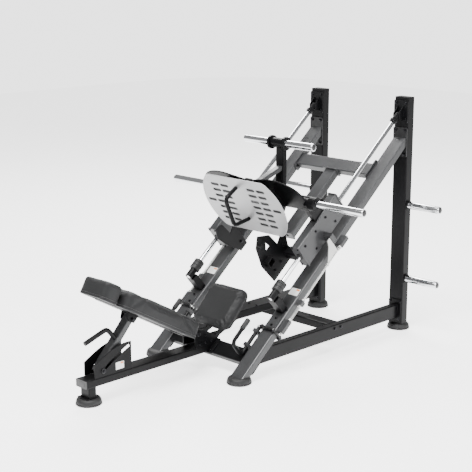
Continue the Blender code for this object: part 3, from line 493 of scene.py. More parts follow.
class Shape:
    """A mesh under construction, in a frame of its own."""

    def __init__(self, place: Matrix = WORLD) -> None:
        """Starts an empty mesh in a frame."""
        self.mesh = bmesh.new()
        self.place = place

    def lathe(self, at: Point3, axis: Axis, sign: float, profile: Sequence[Point2], sides: int = 32) -> "Shape":
        """Turns a profile of (along, radius) points about an axis through a point.

        Args:
            at: where the profile starts.
            axis: the way it runs.
            sign: 1 or -1 for the way along the axis.
            profile: the points, closed into a ring unless it starts on the axis.
            sides: how many facets go round.

        Returns:
            This shape.
        """
        matrix = self.place @ Matrix.Translation(at) @ axis.turn(sign)
        rings = []
        for along, radius in profile:
            count = sides if radius > 0 else 1
            rings.append([self.mesh.verts.new(matrix @ Vector((radius * math.cos(math.tau * i / sides),
                                                               radius * math.sin(math.tau * i / sides), along)))
                          for i in range(count)])
        pairs = list(zip(rings, rings[1:]))
        if profile[0][1] > 0:
            pairs.append((rings[-1], rings[0]))
        for first, second in pairs:
            bridge(self.mesh, first, second)
        return self

    def slab(self, outline: Sequence[Point2], low: float, high: float, matrix: Matrix = WORLD,
             holes: Sequence[Sequence[Point2]] = ()) -> "Shape":
        """Extrudes an outline with holes from one height to another in this shape's frame."""
        place = self.place @ matrix
        edges = []
        for loop in (outline, *holes):
            ring = [self.mesh.verts.new(place @ Vector((u, v, low))) for u, v in loop]
            edges += [self.mesh.edges.new((a, b)) for a, b in zip(ring, ring[1:] + ring[:1])]
        filled = bmesh.ops.triangle_fill(self.mesh, use_beauty=True, edges=edges)["geom"]
        cap = [item for item in filled if isinstance(item, bmesh.types.BMFace)]
        raised = bmesh.ops.extrude_face_region(self.mesh, geom=cap, use_keep_orig=True)["geom"]
        lift = place.to_3x3() @ Vector((0, 0, high - low))
        bmesh.ops.translate(self.mesh, verts=[v for v in raised if isinstance(v, bmesh.types.BMVert)], vec=lift)
        return self

    def sweep(self, path: Sequence[Vector], radius: float, sides: int = 10, closed: bool = False) -> "Shape":
        """Sweeps a round section along a path.

        Args:
            path: the path's points.
            radius: the section's radius.
            sides: how many facets go round.
            closed: joins the end to the start.

        Returns:
            This shape.
        """
        count = len(path)
        side = (path[1] - path[0]).orthogonal().normalized()
        rings = []
        for i, point in enumerate(path):
            before = path[(i - 1) % count] if closed else path[max(i - 1, 0)]
            after = path[(i + 1) % count] if closed else path[min(i + 1, count - 1)]
            ahead = (after - before).normalized()
            side = (side - side.dot(ahead) * ahead).normalized()
            other = ahead.cross(side)
            rings.append([self.mesh.verts.new(self.place @ (point + radius * (math.cos(math.tau * k / sides) * side
                                                                              + math.sin(math.tau * k / sides)
                                                                              * other))) for k in range(sides)])
        for first, second in zip(rings, rings[1:]):
            bridge(self.mesh, first, second)
        if closed:
            bridge(self.mesh, rings[-1], rings[0])
        else:
            self.mesh.faces.new(rings[0])
            self.mesh.faces.new(rings[-1])
        return self

    def bolt(self, at: Point3, axis: Axis, sign: float, size: float = 0.0085) -> "Shape":
        """Adds a washer and a chamfered hexagon head.

        Args:
            at: the middle of the face it sits on.
            axis: the way the head points.
            sign: 1 or -1 for the way along the axis.
            size: the head's half width.

        Returns:
            This shape.
        """
        washer = 0.0018
        self.lathe(at, axis, sign, [(0, 0), (0, size * 1.45), (washer * 0.7, size * 1.45), (washer, size * 1.38),
                                    (washer, 0)], 24)
        height = size * 0.85
        self.lathe(at, axis, sign, [(washer, 0), (washer, size * 1.12), (washer + height - 0.0012, size * 1.12),
                                    (washer + height, size * 0.92), (washer + height, 0)], 6)
        return self

    def finish(self, name: str, finish: Finish, body: Body, shop: Workshop, replaced: Sequence[str] = (),
               bevel: float = 0.0) -> bpy.types.Object:
        """Makes the object, gives it its material and body, and hides what it replaces.

        Args:
            name: the object's name.
            finish: its finish.
            body: the body it rides on.
            shop: where materials come from.
            replaced: the frame nodes it stands for.
            bevel: the width of its rounded edges.

        Returns:
            The new object.
        """
        bmesh.ops.recalc_face_normals(self.mesh, faces=self.mesh.faces)
        data = bpy.data.meshes.new(name)
        self.mesh.to_mesh(data)
        self.mesh.free()
        data.shade_smooth()
        data.set_sharp_from_angle(angle=SHARP_ANGLE)
        item = bpy.data.objects.new(name, data)
        bpy.context.scene.collection.objects.link(item)
        if bevel:
            edge = item.modifiers.new("round_edges", "BEVEL")
            edge.width, edge.segments, edge.limit_method, edge.angle_limit = bevel, 2, "ANGLE", SHARP_ANGLE
            edge.harden_normals = True
        data.materials.append(shop.material(finish))
        return settle(item, body, replaced)


def settle(item: bpy.types.Object, body: Body, replaced: Sequence[str] = ()) -> bpy.types.Object:
    """Rides a piece on its body and hides the nodes it replaces."""
    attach(item, body.value)
    if replaced:
        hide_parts(*replaced)
    LOG.info("%s rides on %s", item.name, body.value)
    return item


def rounded(half_u: float, half_v: float, radius: float, steps: int = 6, middle: Point2 = (0, 0)) -> list[Point2]:
    """Returns a rectangle's outline with round corners."""
    points = []
    for corner, (side_u, side_v) in enumerate(((1, 1), (-1, 1), (-1, -1), (1, -1))):
        for step in range(steps + 1):
            angle = math.radians(90) * (corner + step / steps)
            points.append((middle[0] + side_u * (half_u - radius) + radius * math.cos(angle),
                           middle[1] + side_v * (half_v - radius) + radius * math.sin(angle)))
    return points


# ---- sub-assemblies -----------------------------------------------------------------------------------------------
@dataclass
class RubberFeet:
    """Five moulded feet with a rolled lip and a groove under the shoulder."""

    shop: Workshop
    radius: float = 0.077
    height: float = 0.040

    def build(self) -> None:
        """Builds each foot where its node stands."""
        r, h = self.radius, self.height
        profile = [(0, 0), (0, r - 0.006), (0.0015, r - 0.002), (0.004, r), (0.009, r), (0.0115, r - 0.0015),
                   (0.0125, r - 0.0040), (0.0140, r - 0.0040), (0.0150, r - 0.0020), (0.019, r - 0.0022),
                   (0.028, r - 0.0050), (0.034, r - 0.0085), (0.038, r - 0.0125), (h, r - 0.0165), (h, 0)]
        for name in ("front_foot", "left_leg_foot", "right_leg_foot", "left_rear_foot", "right_rear_foot"):
            low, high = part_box(name)
            middle = (low + high) / 2
            shape = Shape().lathe((middle.x, middle.y, 0), Axis.Z, 1, profile, 72)
            shape.finish(name.replace("foot", "rubber_foot"), RUBBER, Body.FRAME, self.shop, [name])


@dataclass
class Bumpers:
    """Ribbed rubber bumpers at the foot of each guide rod."""

    shop: Workshop
    bore: float = 0.0146
    radius: float = 0.0340
    start: float = 0.2803
    end: float = 0.352

    def build(self) -> None:
        """Builds both bumpers."""
        length = self.end - self.start
        r = self.radius
        profile = [(0, self.bore), (0, r - 0.002), (0.0015, r), (0.020, r), (0.022, r - 0.0035), (0.026, r - 0.0035),
                   (0.028, r), (0.044, r), (0.046, r - 0.0035), (0.050, r - 0.0035), (0.052, r),
                   (length - 0.004, r), (length - 0.001, r - 0.0025), (length, r - 0.006), (length, self.bore)]
        for name, side in SIDES:
            shape = Shape(RAIL).lathe((side * ROD_X, self.start, ROD_N), Axis.Y, 1, profile, 48)
            shape.finish(name + "_rubber_bumper", RUBBER, Body.FRAME, self.shop, [name + "_bumper"])


@dataclass
class ChromeBars:
    """Guide rods and weight horns with turned ends and plastic plugs."""

    shop: Workshop
    horn: float = 0.0245
    rod: float = 0.0140
    rod_start: float = 0.2155
    rod_length: float = 1.5965
    chamfer: float = 0.0022
    plug: float = 0.0180
    plug_rise: float = 0.0032
    sled_root: float = 0.4135
    sled_end: float = 0.831
    sled_place: Point2 = (0.8135, 0.360)     # along and above the rails
    top_end: float = 0.300
    top_place: Point2 = (0.375, 1.340)       # Y and Z
    storage_end: float = 0.690

    def bar(self, at: Point3, axis: Axis, sign: float, length: float, radius: float, place: Matrix) -> Shape:
        """Returns a bar with a chamfer at both ends."""
        c = self.chamfer
        profile = [(0, 0), (0, radius - c), (c, radius), (length - 1.6 * c, radius),
                   (length - 0.5 * c, radius - 0.5 * c), (length, radius - 1.6 * c), (length, 0)]
        return Shape(place).lathe(at, axis, sign, profile, 64)

    def cap(self, at: Point3, sign: float, place: Matrix, name: str, body: Body) -> None:
        """Adds the domed plug in a horn's end."""
        profile = [(-0.004, 0), (-0.004, self.plug - 0.001), (0.0001, self.plug - 0.001), (0.0001, self.plug),
                   (0.0010, self.plug), (0.0022, self.plug * 0.8), (0.0030, self.plug * 0.45), (self.plug_rise, 0)]
        Shape(place).lathe(at, Axis.X, sign, profile, 40).finish(name, PLASTIC, body, self.shop)

    def build(self) -> None:
        """Builds the rods, the horns and their plugs."""
        top_y, top_z = self.top_place
        sled_s, sled_n = self.sled_place
        for name, side in SIDES:
            rod = self.bar((side * ROD_X, self.rod_start, ROD_N), Axis.Y, 1, self.rod_length, self.rod, RAIL)
            rod.finish(name + "_chrome_guide_rod", CHROME, Body.FRAME, self.shop, [name + "_guide_rod"])
            end = self.sled_end - self.plug_rise
            horn = self.bar((side * self.sled_root, sled_s, sled_n), Axis.X, side, end - self.sled_root, self.horn,
                            RAIL)
            horn.finish(name + "_chrome_weight_horn", CHROME, Body.SLED, self.shop, [name + "_weight_horn"])
            self.cap((side * end, sled_s, sled_n), side, RAIL, name + "_weight_horn_plug", Body.SLED)
            self.cap((side * (self.top_end - self.plug_rise), top_y, top_z), side, WORLD, name + "_top_horn_plug",
                     Body.SLED)
            for level in ("low", "high"):
                node = f"{name}_{level}_storage_horn"
                low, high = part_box(node)
                middle = (low + high) / 2
                start = min(abs(low.x), abs(high.x))
                end = self.storage_end - self.plug_rise
                horn = self.bar((side * start, middle.y, middle.z), Axis.X, side, end - start, self.horn, WORLD)
                horn.finish(f"{name}_{level}_chrome_storage_horn", CHROME, Body.FRAME, self.shop, [node])
                self.cap((side * end, middle.y, middle.z), side, WORLD, node + "_plug", Body.FRAME)
        end = self.top_end - self.plug_rise
        top = self.bar((-end, top_y, top_z), Axis.X, 1, 2 * end, self.horn, WORLD)
        top.finish("top_chrome_weight_horn", CHROME, Body.SLED, self.shop, ["top_weight_horn"])


@dataclass
class Cushion:
    """A leatherette pad, blown up by cloth simulation, with piping round its lower edge."""

    shop: Workshop
    name: str
    node: str
    place: Matrix
    body: Body
    half_u: float
    half_v: float
    middle_v: float
    corner: float
    low: float
    high: float
    creases: tuple[float, ...] = ()
    voxel: float = 0.006
    pressure: float = 4.0
    cap: float = 0.007
    inset: float = 0.0024
    edge: float = 0.020
    crease_depth: float = 0.0040
    crease_width: float = 0.035
    crease_reach: float = 0.030
    sewn_width: float = 0.004
    sewn_hold: float = 0.35
    frames: int = 20
    piping_rise: float = 0.016
    piping_radius: float = 0.0019

    def profile(self, v: float) -> float:
        """Returns how far the top stands above its plain height at a place along the pad."""
        return -sum(self.crease_depth * math.exp(-((v - crease) / self.crease_width) ** 2)
                    for crease in self.creases)

    def blank(self) -> bpy.types.Object:
        """Returns the block the pad is blown up from, a little smaller than the finished pad."""
        shape = Shape()
        rings = []
        shoulder = self.high - self.edge
        levels = [(self.low, -0.002), (self.low + 0.012, self.inset), (shoulder, self.inset)]
        levels += [(shoulder + self.edge * math.sin(a), self.inset + self.edge * (1 - math.cos(a)))
                   for a in (math.radians(d) for d in (22, 45, 68, 90))]
        for height, pull in levels:
            outline = rounded(self.half_u - pull - 0.002, self.half_v - pull - 0.002,
                              max(self.corner - pull, 0.012), 8, (0, self.middle_v))
            rings.append([shape.mesh.verts.new((u, v, height)) for u, v in outline])
        for first, second in zip(rings, rings[1:]):
            bridge(shape.mesh, first, second)
        shape.mesh.faces.new(rings[0])
        shape.mesh.faces.new(rings[-1])
        bmesh.ops.recalc_face_normals(shape.mesh, faces=shape.mesh.faces)
        data = bpy.data.meshes.new(self.name)
        shape.mesh.to_mesh(data)
        shape.mesh.free()
        item = bpy.data.objects.new(self.name, data)
        bpy.context.scene.collection.objects.link(item)
        return item

    def remeshed(self, item: bpy.types.Object) -> None:
        """Replaces the block's mesh by an even one and presses the creases in."""
        remesh = item.modifiers.new("even", "REMESH")
        remesh.mode = "VOXEL"
        remesh.voxel_size = self.voxel
        swap_mesh(item)
        for vert in item.data.vertices:
            share = min(1.0, max(0.0, (vert.co.z - (self.high - self.crease_reach)) / self.crease_reach))
            vert.co.z += share * self.profile(vert.co.y)

    def blow_up(self, item: bpy.types.Object) -> None:
        """Runs the cloth simulation and keeps each point within the cap of its start."""
        rest = [vert.co.copy() for vert in item.data.vertices]
        held = item.vertex_groups.new(name="held")
        held.add([i for i, co in enumerate(rest) if co.z < self.low + 0.010], 1.0, "REPLACE")
        for crease in self.creases:
            sewn = [i for i, co in enumerate(rest) if abs(co.y - crease) < self.sewn_width]
            held.add(sewn, self.sewn_hold, "REPLACE")
        cloth = item.modifiers.new("cloth", "CLOTH")
        cloth.settings.quality = 5
        cloth.settings.mass = 0.3
        cloth.settings.tension_stiffness = 12
        cloth.settings.compression_stiffness = 12
        cloth.settings.bending_stiffness = 2.5
        cloth.settings.use_pressure = True
        cloth.settings.uniform_pressure_force = self.pressure
        cloth.settings.vertex_group_mass = "held"
        cloth.settings.effector_weights.gravity = 0
        scene = bpy.context.scene
        for step in range(1, self.frames + 1):
            scene.frame_set(step)
        swap_mesh(item)
        scene.frame_set(1)
        for vert, start in zip(item.data.vertices, rest):
            move = vert.co - start
            if move.length > self.cap:
                vert.co = start + move * (self.cap / move.length)

    def piping(self, item: bpy.types.Object) -> Shape:
        """Returns the piping that lies on the pad's side near its lower edge."""
        height = self.low + self.piping_rise
        tree = BVHTree.FromPolygons([v.co for v in item.data.vertices],
                                    [tuple(p.vertices) for p in item.data.polygons])
        away = 0.05
        outline = rounded(self.half_u + away, self.half_v + away, self.corner + away, 10, (0, self.middle_v))
        path = []
        steps = 220
        points = [Vector((u, v, height)) for u, v in outline]
        lengths = [(b - a).length for a, b in zip(points, points[1:] + points[:1])]
        total = sum(lengths)
        for step in range(steps):
            far = total * step / steps
            index = 0
            while far > lengths[index]:
                far -= lengths[index]
                index += 1
            start = points[index].lerp(points[(index + 1) % len(points)], far / lengths[index])
            reach_u = max(min(start.x, self.half_u - self.corner), self.corner - self.half_u)
            reach_v = max(min(start.y - self.middle_v, self.half_v - self.corner), self.corner - self.half_v)
            inner = Vector((reach_u, self.middle_v + reach_v, height))
            hit = tree.ray_cast(start, (inner - start).normalized())[0]
            if hit is not None:
                path.append(hit)
        return Shape(self.place).sweep(path, self.piping_radius, 8, True)

    def build(self) -> None:
        """Builds the pad and its piping."""
        item = self.blank()
        self.remeshed(item)
        self.blow_up(item)
        piping = self.piping(item)
        item.data.transform(self.place)
        item.data.materials.clear()
        item.data.materials.append(self.shop.material(LEATHERETTE))
        item.data.shade_smooth()
        smooth = item.modifiers.new("smooth", "SUBSURF")
        smooth.levels = smooth.render_levels = 1
        settle(item, self.body, [self.node])
        piping.finish(self.name + "_piping_1", THREAD, self.body, self.shop)


def swap_mesh(item: bpy.types.Object) -> None:
    """Bakes an object's modifiers into its mesh and removes them."""
    graph = bpy.context.evaluated_depsgraph_get()
    data = bpy.data.meshes.new_from_object(item.evaluated_get(graph))
    item.modifiers.clear()
    old = item.data
    item.data = data
    bpy.data.meshes.remove(old)


@dataclass
class Footplate:
    """The pressed footplate, with round-ended slots in two lobes and a dark sheet behind them that is painted shade.
    """

    shop: Workshop
    half_height: float = 0.207
    waist: float = 0.245
    bulge: float = 0.345
    thickness: float = 0.006
    pitch: Point2 = (0.084, 0.045)
    first_slot: float = 0.115
    slot_half: Point2 = (0.0355, 0.0104)
    margin: float = 0.024
    edge: float = 0.012
    # the dark sheet behind the plate is painted shade seen through the slots: how far behind it sits and how thick it
    # is
    slot_shade_gap: float = 0.0002
    slot_shade_depth: float = 0.0016

    def half_width(self, v: float) -> float:
        """Returns the plate's half width at a height."""
        rise = self.bulge - self.waist
        radius = (self.half_height ** 2 + rise ** 2) / (2 * rise)
        return self.bulge - radius + math.sqrt(radius ** 2 - v ** 2)

    def slots(self) -> list[list[Point2]]:
        """Returns every slot's outline."""
        half_u, half_v = self.slot_half
        made = []
        for row in range(-3, 4):
            v = self.pitch[1] * row
            for column in range(3):
                u = self.first_slot + self.pitch[0] * column
                if u + half_u + self.margin <= self.half_width(v):
                    made += [rounded(half_u, half_v, half_v, 6, (sign * u, v)) for sign in (-1, 1)]
        return made

    def build(self) -> None:
        """Builds the plate, and a dark sheet close behind it: painted shade seen through the slots."""
        top = self.half_height - self.edge
        side = [(self.half_width(v), v) for v in (-top + 2 * top * i / 40 for i in range(41))]
        corner = [(self.waist - 0.020, -self.half_height), (self.waist - 0.008, -self.half_height + 0.002)]
        right = [*corner, *side, (corner[1][0], -corner[1][1]), (corner[0][0], -corner[0][1])]
        left = [(-u, v) for u, v in reversed(right)]
        shape = Shape(FOOTPLATE)
        shape.slab(right + left, -self.thickness, 0, STAND, self.slots())
        shape.finish("silver_footplate", SILVER_PAINT, Body.SLED, self.shop, ["footplate"], 0.0012)
        # a dark rubber-finished sheet close behind the plate, standing in as painted shade in the slots
        slot_shade = Shape(FOOTPLATE)
        shrunk = [(u * 0.965, v * 0.955) for u, v in right + left]
        slot_shade.slab(shrunk, -self.thickness - self.slot_shade_depth, -self.thickness - self.slot_shade_gap, STAND)
        slot_shade.finish("footplate_slot_shade_sheet", RUBBER, Body.SLED, self.shop)


@dataclass(frozen=True)
class BoltRow:
    """Equal bolts on one face, at every mix of the given places; the other side has the mirror of them."""

    xs: tuple[float, ...]
    ys: tuple[float, ...]
    zs: tuple[float, ...]
    axis: Axis
    sign: float = 1
    size: float = 0.0085
    sides: tuple[int, ...] = (-1, 1)

    def add(self, shape: Shape) -> None:
        """Adds the bolts to a shape."""
        for side in self.sides:
            sign = self.sign * side if self.axis is Axis.X else self.sign
            for x in self.xs:
                for y in self.ys:
                    for z in self.zs:
                        shape.bolt((side * x, y, z), self.axis, sign, self.size)


FLANGE_X = (SIDE_X - 0.048, SIDE_X + 0.048)
UPRIGHT_X = (SIDE_X - 0.038, SIDE_X + 0.038)
UPRIGHT_FRONT, UPRIGHT_BACK = (1.1567,), (1.2300,)
HOUSING_S = (0.616, 0.739, 0.857, 0.962)
RAIL_BOLTS = (
    BoltRow(FLANGE_X, (0.0877,), (-0.066, 0.018), Axis.Y),
    BoltRow(FLANGE_X, (0.0753,), (-0.066, 0.018), Axis.Y, -1),
    BoltRow((SIDE_X,), (0.118, 0.172), (0.0045,), Axis.Z, 1, 0.0065),
    BoltRow((SIDE_X - 0.032, SIDE_X + 0.032), (0.245,), (0.0,), Axis.Z, 1, 0.0055),
    BoltRow((0.3112,), (1.367, 1.483), (-0.020,), Axis.X, -1, 0.0065),
    BoltRow((SIDE_X + 0.034,), (-0.190, -0.010), (-0.0565,), Axis.Z, -1, 0.0075),
    BoltRow((0.060,), (-0.100, -0.170), (0.0083,), Axis.Z, 1, 0.0075),
)
FRAME_BOLTS = (
    BoltRow(UPRIGHT_X, UPRIGHT_FRONT, (1.222, 1.382), Axis.Y, -1),
    BoltRow(UPRIGHT_X, UPRIGHT_BACK, (1.222, 1.382), Axis.Y),
    BoltRow(UPRIGHT_X, UPRIGHT_FRONT, (0.078, 0.200, 1.452, 1.560), Axis.Y, -1, 0.0075),
    BoltRow(UPRIGHT_X, UPRIGHT_BACK, (1.452, 1.560), Axis.Y, 1, 0.0075),
    BoltRow((SIDE_X + 0.025,), (0.498, 0.558), (0.155,), Axis.X, 1, 0.0080),
    BoltRow((0.0575,), (-0.385, -0.335, -0.285), (0.180,), Axis.X, 1, 0.0068),
    BoltRow((0.0575,), (-0.335,), (0.226,), Axis.X, 1, 0.0068),
    BoltRow((0.0575,), (-0.248,), (0.213,), Axis.X, 1, 0.0068),
    BoltRow((0.034,), (-0.105, 0.140), (0.312,), Axis.Z, 1, 0.0060),
)
SLED_BOLTS = (
    BoltRow((ROD_X + 0.031,), HOUSING_S, (0.1790,), Axis.X, 1, 0.0065),
    BoltRow((ROD_X - 0.031,), HOUSING_S, (0.1790,), Axis.X, -1, 0.0065),
    BoltRow((ROD_X + 0.031,), (0.676, 0.905), (0.0860,), Axis.X, 1, 0.0065),
    BoltRow((ROD_X - 0.024, ROD_X + 0.024), (0.5596,), (0.055, 0.208), Axis.Y, -1, 0.0050),
    BoltRow((0.213,), (0.600,), (0.160,), Axis.X, 1, 0.0075),
    BoltRow((0.205,), (0.600,), (0.090,), Axis.X, -1, 0.0085),
    BoltRow((0.213,), (0.448, 0.520), (0.090,), Axis.X, 1, 0.0075, (1,)),
    BoltRow((0.205,), (0.448, 0.520), (0.090,), Axis.X, -1, 0.0075, (1,)),
)
PIN_NUTS = (BoltRow((0.0640,), (-0.400,), (0.246,), Axis.X, 1, 0.0100),
            BoltRow((0.0440,), (-0.902,), (0.447,), Axis.X, 1, 0.0080))
STRUT_NUTS = (BoltRow((0.0555,), (-1.132,), (0.191,), Axis.X, 1, 0.0080),)


@dataclass
class Fasteners:
    """Bolts, nuts and washers of the fixed frame, the sled, the backrest and the strut."""

    shop: Workshop

    def build(self) -> None:
        """Builds one piece for each group of bolts."""
        for name, place, body, rows in (("rail_bolts", RAIL, Body.FRAME, RAIL_BOLTS),
                                        ("frame_bolts", WORLD, Body.FRAME, FRAME_BOLTS),
                                        ("sled_bolts", RAIL, Body.SLED, SLED_BOLTS),
                                        ("backrest_pin_nuts", WORLD, Body.BACKREST, PIN_NUTS),
                                        ("strut_pin_nuts", WORLD, Body.STRUT, STRUT_NUTS)):
            shape = Shape(place)
            for row in rows:
                row.add(shape)
            shape.finish(name, DARK_BOLT, body, self.shop)


@dataclass
class SafetyDetails:
    """Springs, collars and end rings of the catch shafts and release levers."""

    shop: Workshop
    catch_x: float = 0.450
    catch_n: float = -0.024
    lever_x: float = 0.306
    lever_n: float = 0.0135

    def spring(self, x: float, start: float, end: float, turns: int) -> Shape:
        """Returns a coil spring round a catch shaft."""
        per_turn, radius = 16, 0.0094
        steps = turns * per_turn
        path = [Vector((x + radius * math.cos(math.tau * i / per_turn), start + (end - start) * i / steps,
                        self.catch_n + radius * math.sin(math.tau * i / per_turn))) for i in range(steps + 1)]
        return Shape(RAIL).sweep(path, 0.0013, 8)

    def build(self) -> None:
        """Builds each side's springs, rings and caps."""
        bodies = {"left": (Body.LEFT_CATCH, Body.LEFT_LEVER), "right": (Body.RIGHT_CATCH, Body.RIGHT_LEVER)}
        for name, side in SIDES:
            catch, lever = bodies[name]
            x = side * self.catch_x
            self.spring(x, 0.207, 0.300, 13).finish(name + "_catch_spring", ZINC, catch, self.shop)
            rings = Shape(RAIL)
            ring = [(0, 0.0072), (0, 0.0105), (0.001, 0.0115), (0.009, 0.0115), (0.010, 0.0105), (0.010, 0.0072)]
            for s in (0.348, 0.640, 0.770):
                rings.lathe((x, s, self.catch_n), Axis.Y, 1, ring, 32)
            rings.finish(name + "_catch_rings", ZINC, catch, self.shop)
            tip = Shape(RAIL)
            dome = [(0, 0), (0, 0.0142), (0.002, 0.0150), (0.010, 0.0150), (0.013, 0.0125), (0.0145, 0.0070),
                    (0.015, 0)]
            tip.lathe((side * self.lever_x, 0.0705, self.lever_n), Axis.Y, 1, dome, 32)
            tip.finish(name + "_lever_end_cap", ZINC, lever, self.shop)
            grip = Shape(RAIL)
            sleeve = [(0, 0.0127), (0, 0.0150), (0.0015, 0.0160), (0.070, 0.0160), (0.0725, 0.0150), (0.074, 0.0110),
                      (0.0745, 0.0127)]
            grip.lathe((side * self.lever_x, -0.028, 0.1302), Axis.Y, 1, sleeve, 32)
            grip.finish(name + "_lever_grip", RUBBER, lever, self.shop)


@dataclass
class Wipers:
    """Rubber rod wipers on both ends of each bearing housing."""

    shop: Workshop
    low: float = 0.567
    high: float = 1.011
    plate: float = 0.0076            # how far a bearing flange stands out of its housing

    def build(self) -> None:
        """Builds the wipers as short flanged rings round the guide rods."""
        shape = Shape(RAIL)
        profile = [(0, 0.0145), (0, 0.0250), (0.0030, 0.0250), (0.0045, 0.0225), (0.0080, 0.0205),
                   (0.0095, 0.0185), (0.0095, 0.0145)]
        for _, side in SIDES:
            shape.lathe((side * ROD_X, self.low - self.plate, ROD_N), Axis.Y, -1, profile, 40)
            shape.lathe((side * ROD_X, self.high + self.plate, ROD_N), Axis.Y, 1, profile, 40)
        shape.finish("rod_wipers", RUBBER, Body.SLED, self.shop)


@dataclass
class TubeCaps:
    """Moulded plugs in the frame's open tube ends."""

    shop: Workshop
    corner: float = 0.006

    def plug(self, place: Matrix, half_u: float, half_v: float, name: str, body: Body) -> None:
        """Adds a plug whose rim covers a tube's wall, standing out along +Z of its place."""
        shape = Shape(place)
        shape.slab(rounded(half_u - 0.0005, half_v - 0.0005, self.corner), 0.0002, 0.0036)
        shape.slab(rounded(half_u * 0.55, half_v * 0.55, self.corner * 0.6), 0.0037, 0.0046)
        shape.finish(name, PLASTIC, body, self.shop, bevel=0.0010)

    def build(self) -> None:
        """Builds every plug."""
        face_front = Matrix.Rotation(math.radians(-90), 4, "X")
        self.plug(Matrix.Translation((0, -1.252, 0.132)) @ STAND, 0.050, 0.024, "centre_beam_cap", Body.FRAME)
        self.plug(Matrix.Translation((0, 0.545, 0.287)) @ face_front, 0.050, 0.025, "seat_beam_cap", Body.FRAME)
        self.plug(BACK @ Matrix.Translation((0, -0.740, -0.10125)) @ STAND, 0.025, 0.01525, "spine_cap",
                  Body.BACKREST)
        self.plug(STRUT @ Matrix.Translation((0, -0.016, 0)) @ STAND, 0.030, 0.020, "strut_foot_cap", Body.STRUT)


@dataclass
class Quadrants:
    """The two slotted plates that guide the strut's pin over its whole travel."""

    shop: Workshop
    inner: float = 0.0425
    outer: float = 0.0485
    front: float = -1.196
    rear: float = -0.922
    low: float = 0.1565
    slot_half: float = 0.0098
    hinge: Point2 = (-0.400, 0.246)
    strut_top: Point2 = (-0.902, 0.447)
    strut_foot: Point2 = (-1.132, 0.191)
    travel: float = math.radians(20)
    strut_ratio: float = 1.84
    spare: float = 0.065             # share of the travel that the slot runs on at both ends
    crown_low: float = 0.236
    crown_rise: float = 0.088
    crown_sweep: float = math.radians(100)

    def pin(self, share: float) -> Vector:
        """Returns the strut pin's place, as y and z, at a share of the backrest's travel."""
        angle = self.travel * share
        hinge, top, foot = Vector(self.hinge), Vector(self.strut_top), Vector(self.strut_foot)
        return (hinge + Matrix.Rotation(-angle, 2) @ (top - hinge)
                + Matrix.Rotation((self.strut_ratio - 1) * angle, 2) @ (foot - top))

    def slot(self) -> list[Point2]:
        """Returns the slot's outline, with a little room beyond the pin at both ends."""
        last = 20
        places = [self.pin(-self.spare + (1 + 2 * self.spare) * step / last) for step in range(last + 1)]
        left, right = [], []
        for i, place in enumerate(places):
            ahead = (places[min(i + 1, last)] - places[max(i - 1, 0)]).normalized()
            side = Vector((-ahead.y, ahead.x)) * self.slot_half
            left.append(tuple(place + side))
            right.append(tuple(place - side))
        return left + right[::-1]

    def build(self) -> None:
        """Builds both plates."""
        last = 24
        crown = [(self.front + (self.rear - self.front) * step / last,
                  self.crown_low + self.crown_rise * math.sin(self.crown_sweep * step / last))
                 for step in range(last + 1)]
        outline = [(self.front, self.low), (self.rear, self.low), *crown[::-1]]
        for name, side in SIDES:
            shape = Shape().slab(outline, *sorted((side * self.inner, side * self.outer)), SIDEWAYS, [self.slot()])
            shape.finish(name + "_slotted_quadrant", BLACK_PAINT, Body.FRAME, self.shop, [name + "_quadrant"], 0.0008)


@dataclass
class Labels:
    """Blank labels with one coloured band, on the rails and a quadrant."""

    shop: Workshop

    def label(self, place: Matrix, half_u: float, half_v: float, name: str) -> None:
        """Adds a thin label and its band on the +Z face of a place."""
        shape = Shape(place)
        shape.slab(rounded(half_u, half_v, 0.003), 0.0001, 0.0006)
        shape.finish(name, LABEL, Body.FRAME, self.shop)
        band = Shape(place)
        band.slab(rounded(half_u * 0.36, half_v * 0.22, 0.001, 3, (half_u * 0.5, half_v * 0.62)), 0.0006, 0.0009)
        band.finish(name + "_band", LABEL_BAND, Body.FRAME, self.shop)

    def build(self) -> None:
        """Builds the three labels."""
        for name, side in SIDES:
            self.label(RAIL @ Matrix.Translation((side * SIDE_X, 0.385, 0)), 0.036, 0.026, name + "_rail_label")
        self.label(Matrix.Translation((0.0485, -1.010, 0.196)) @ SIDEWAYS, 0.030, 0.022, "quadrant_label")


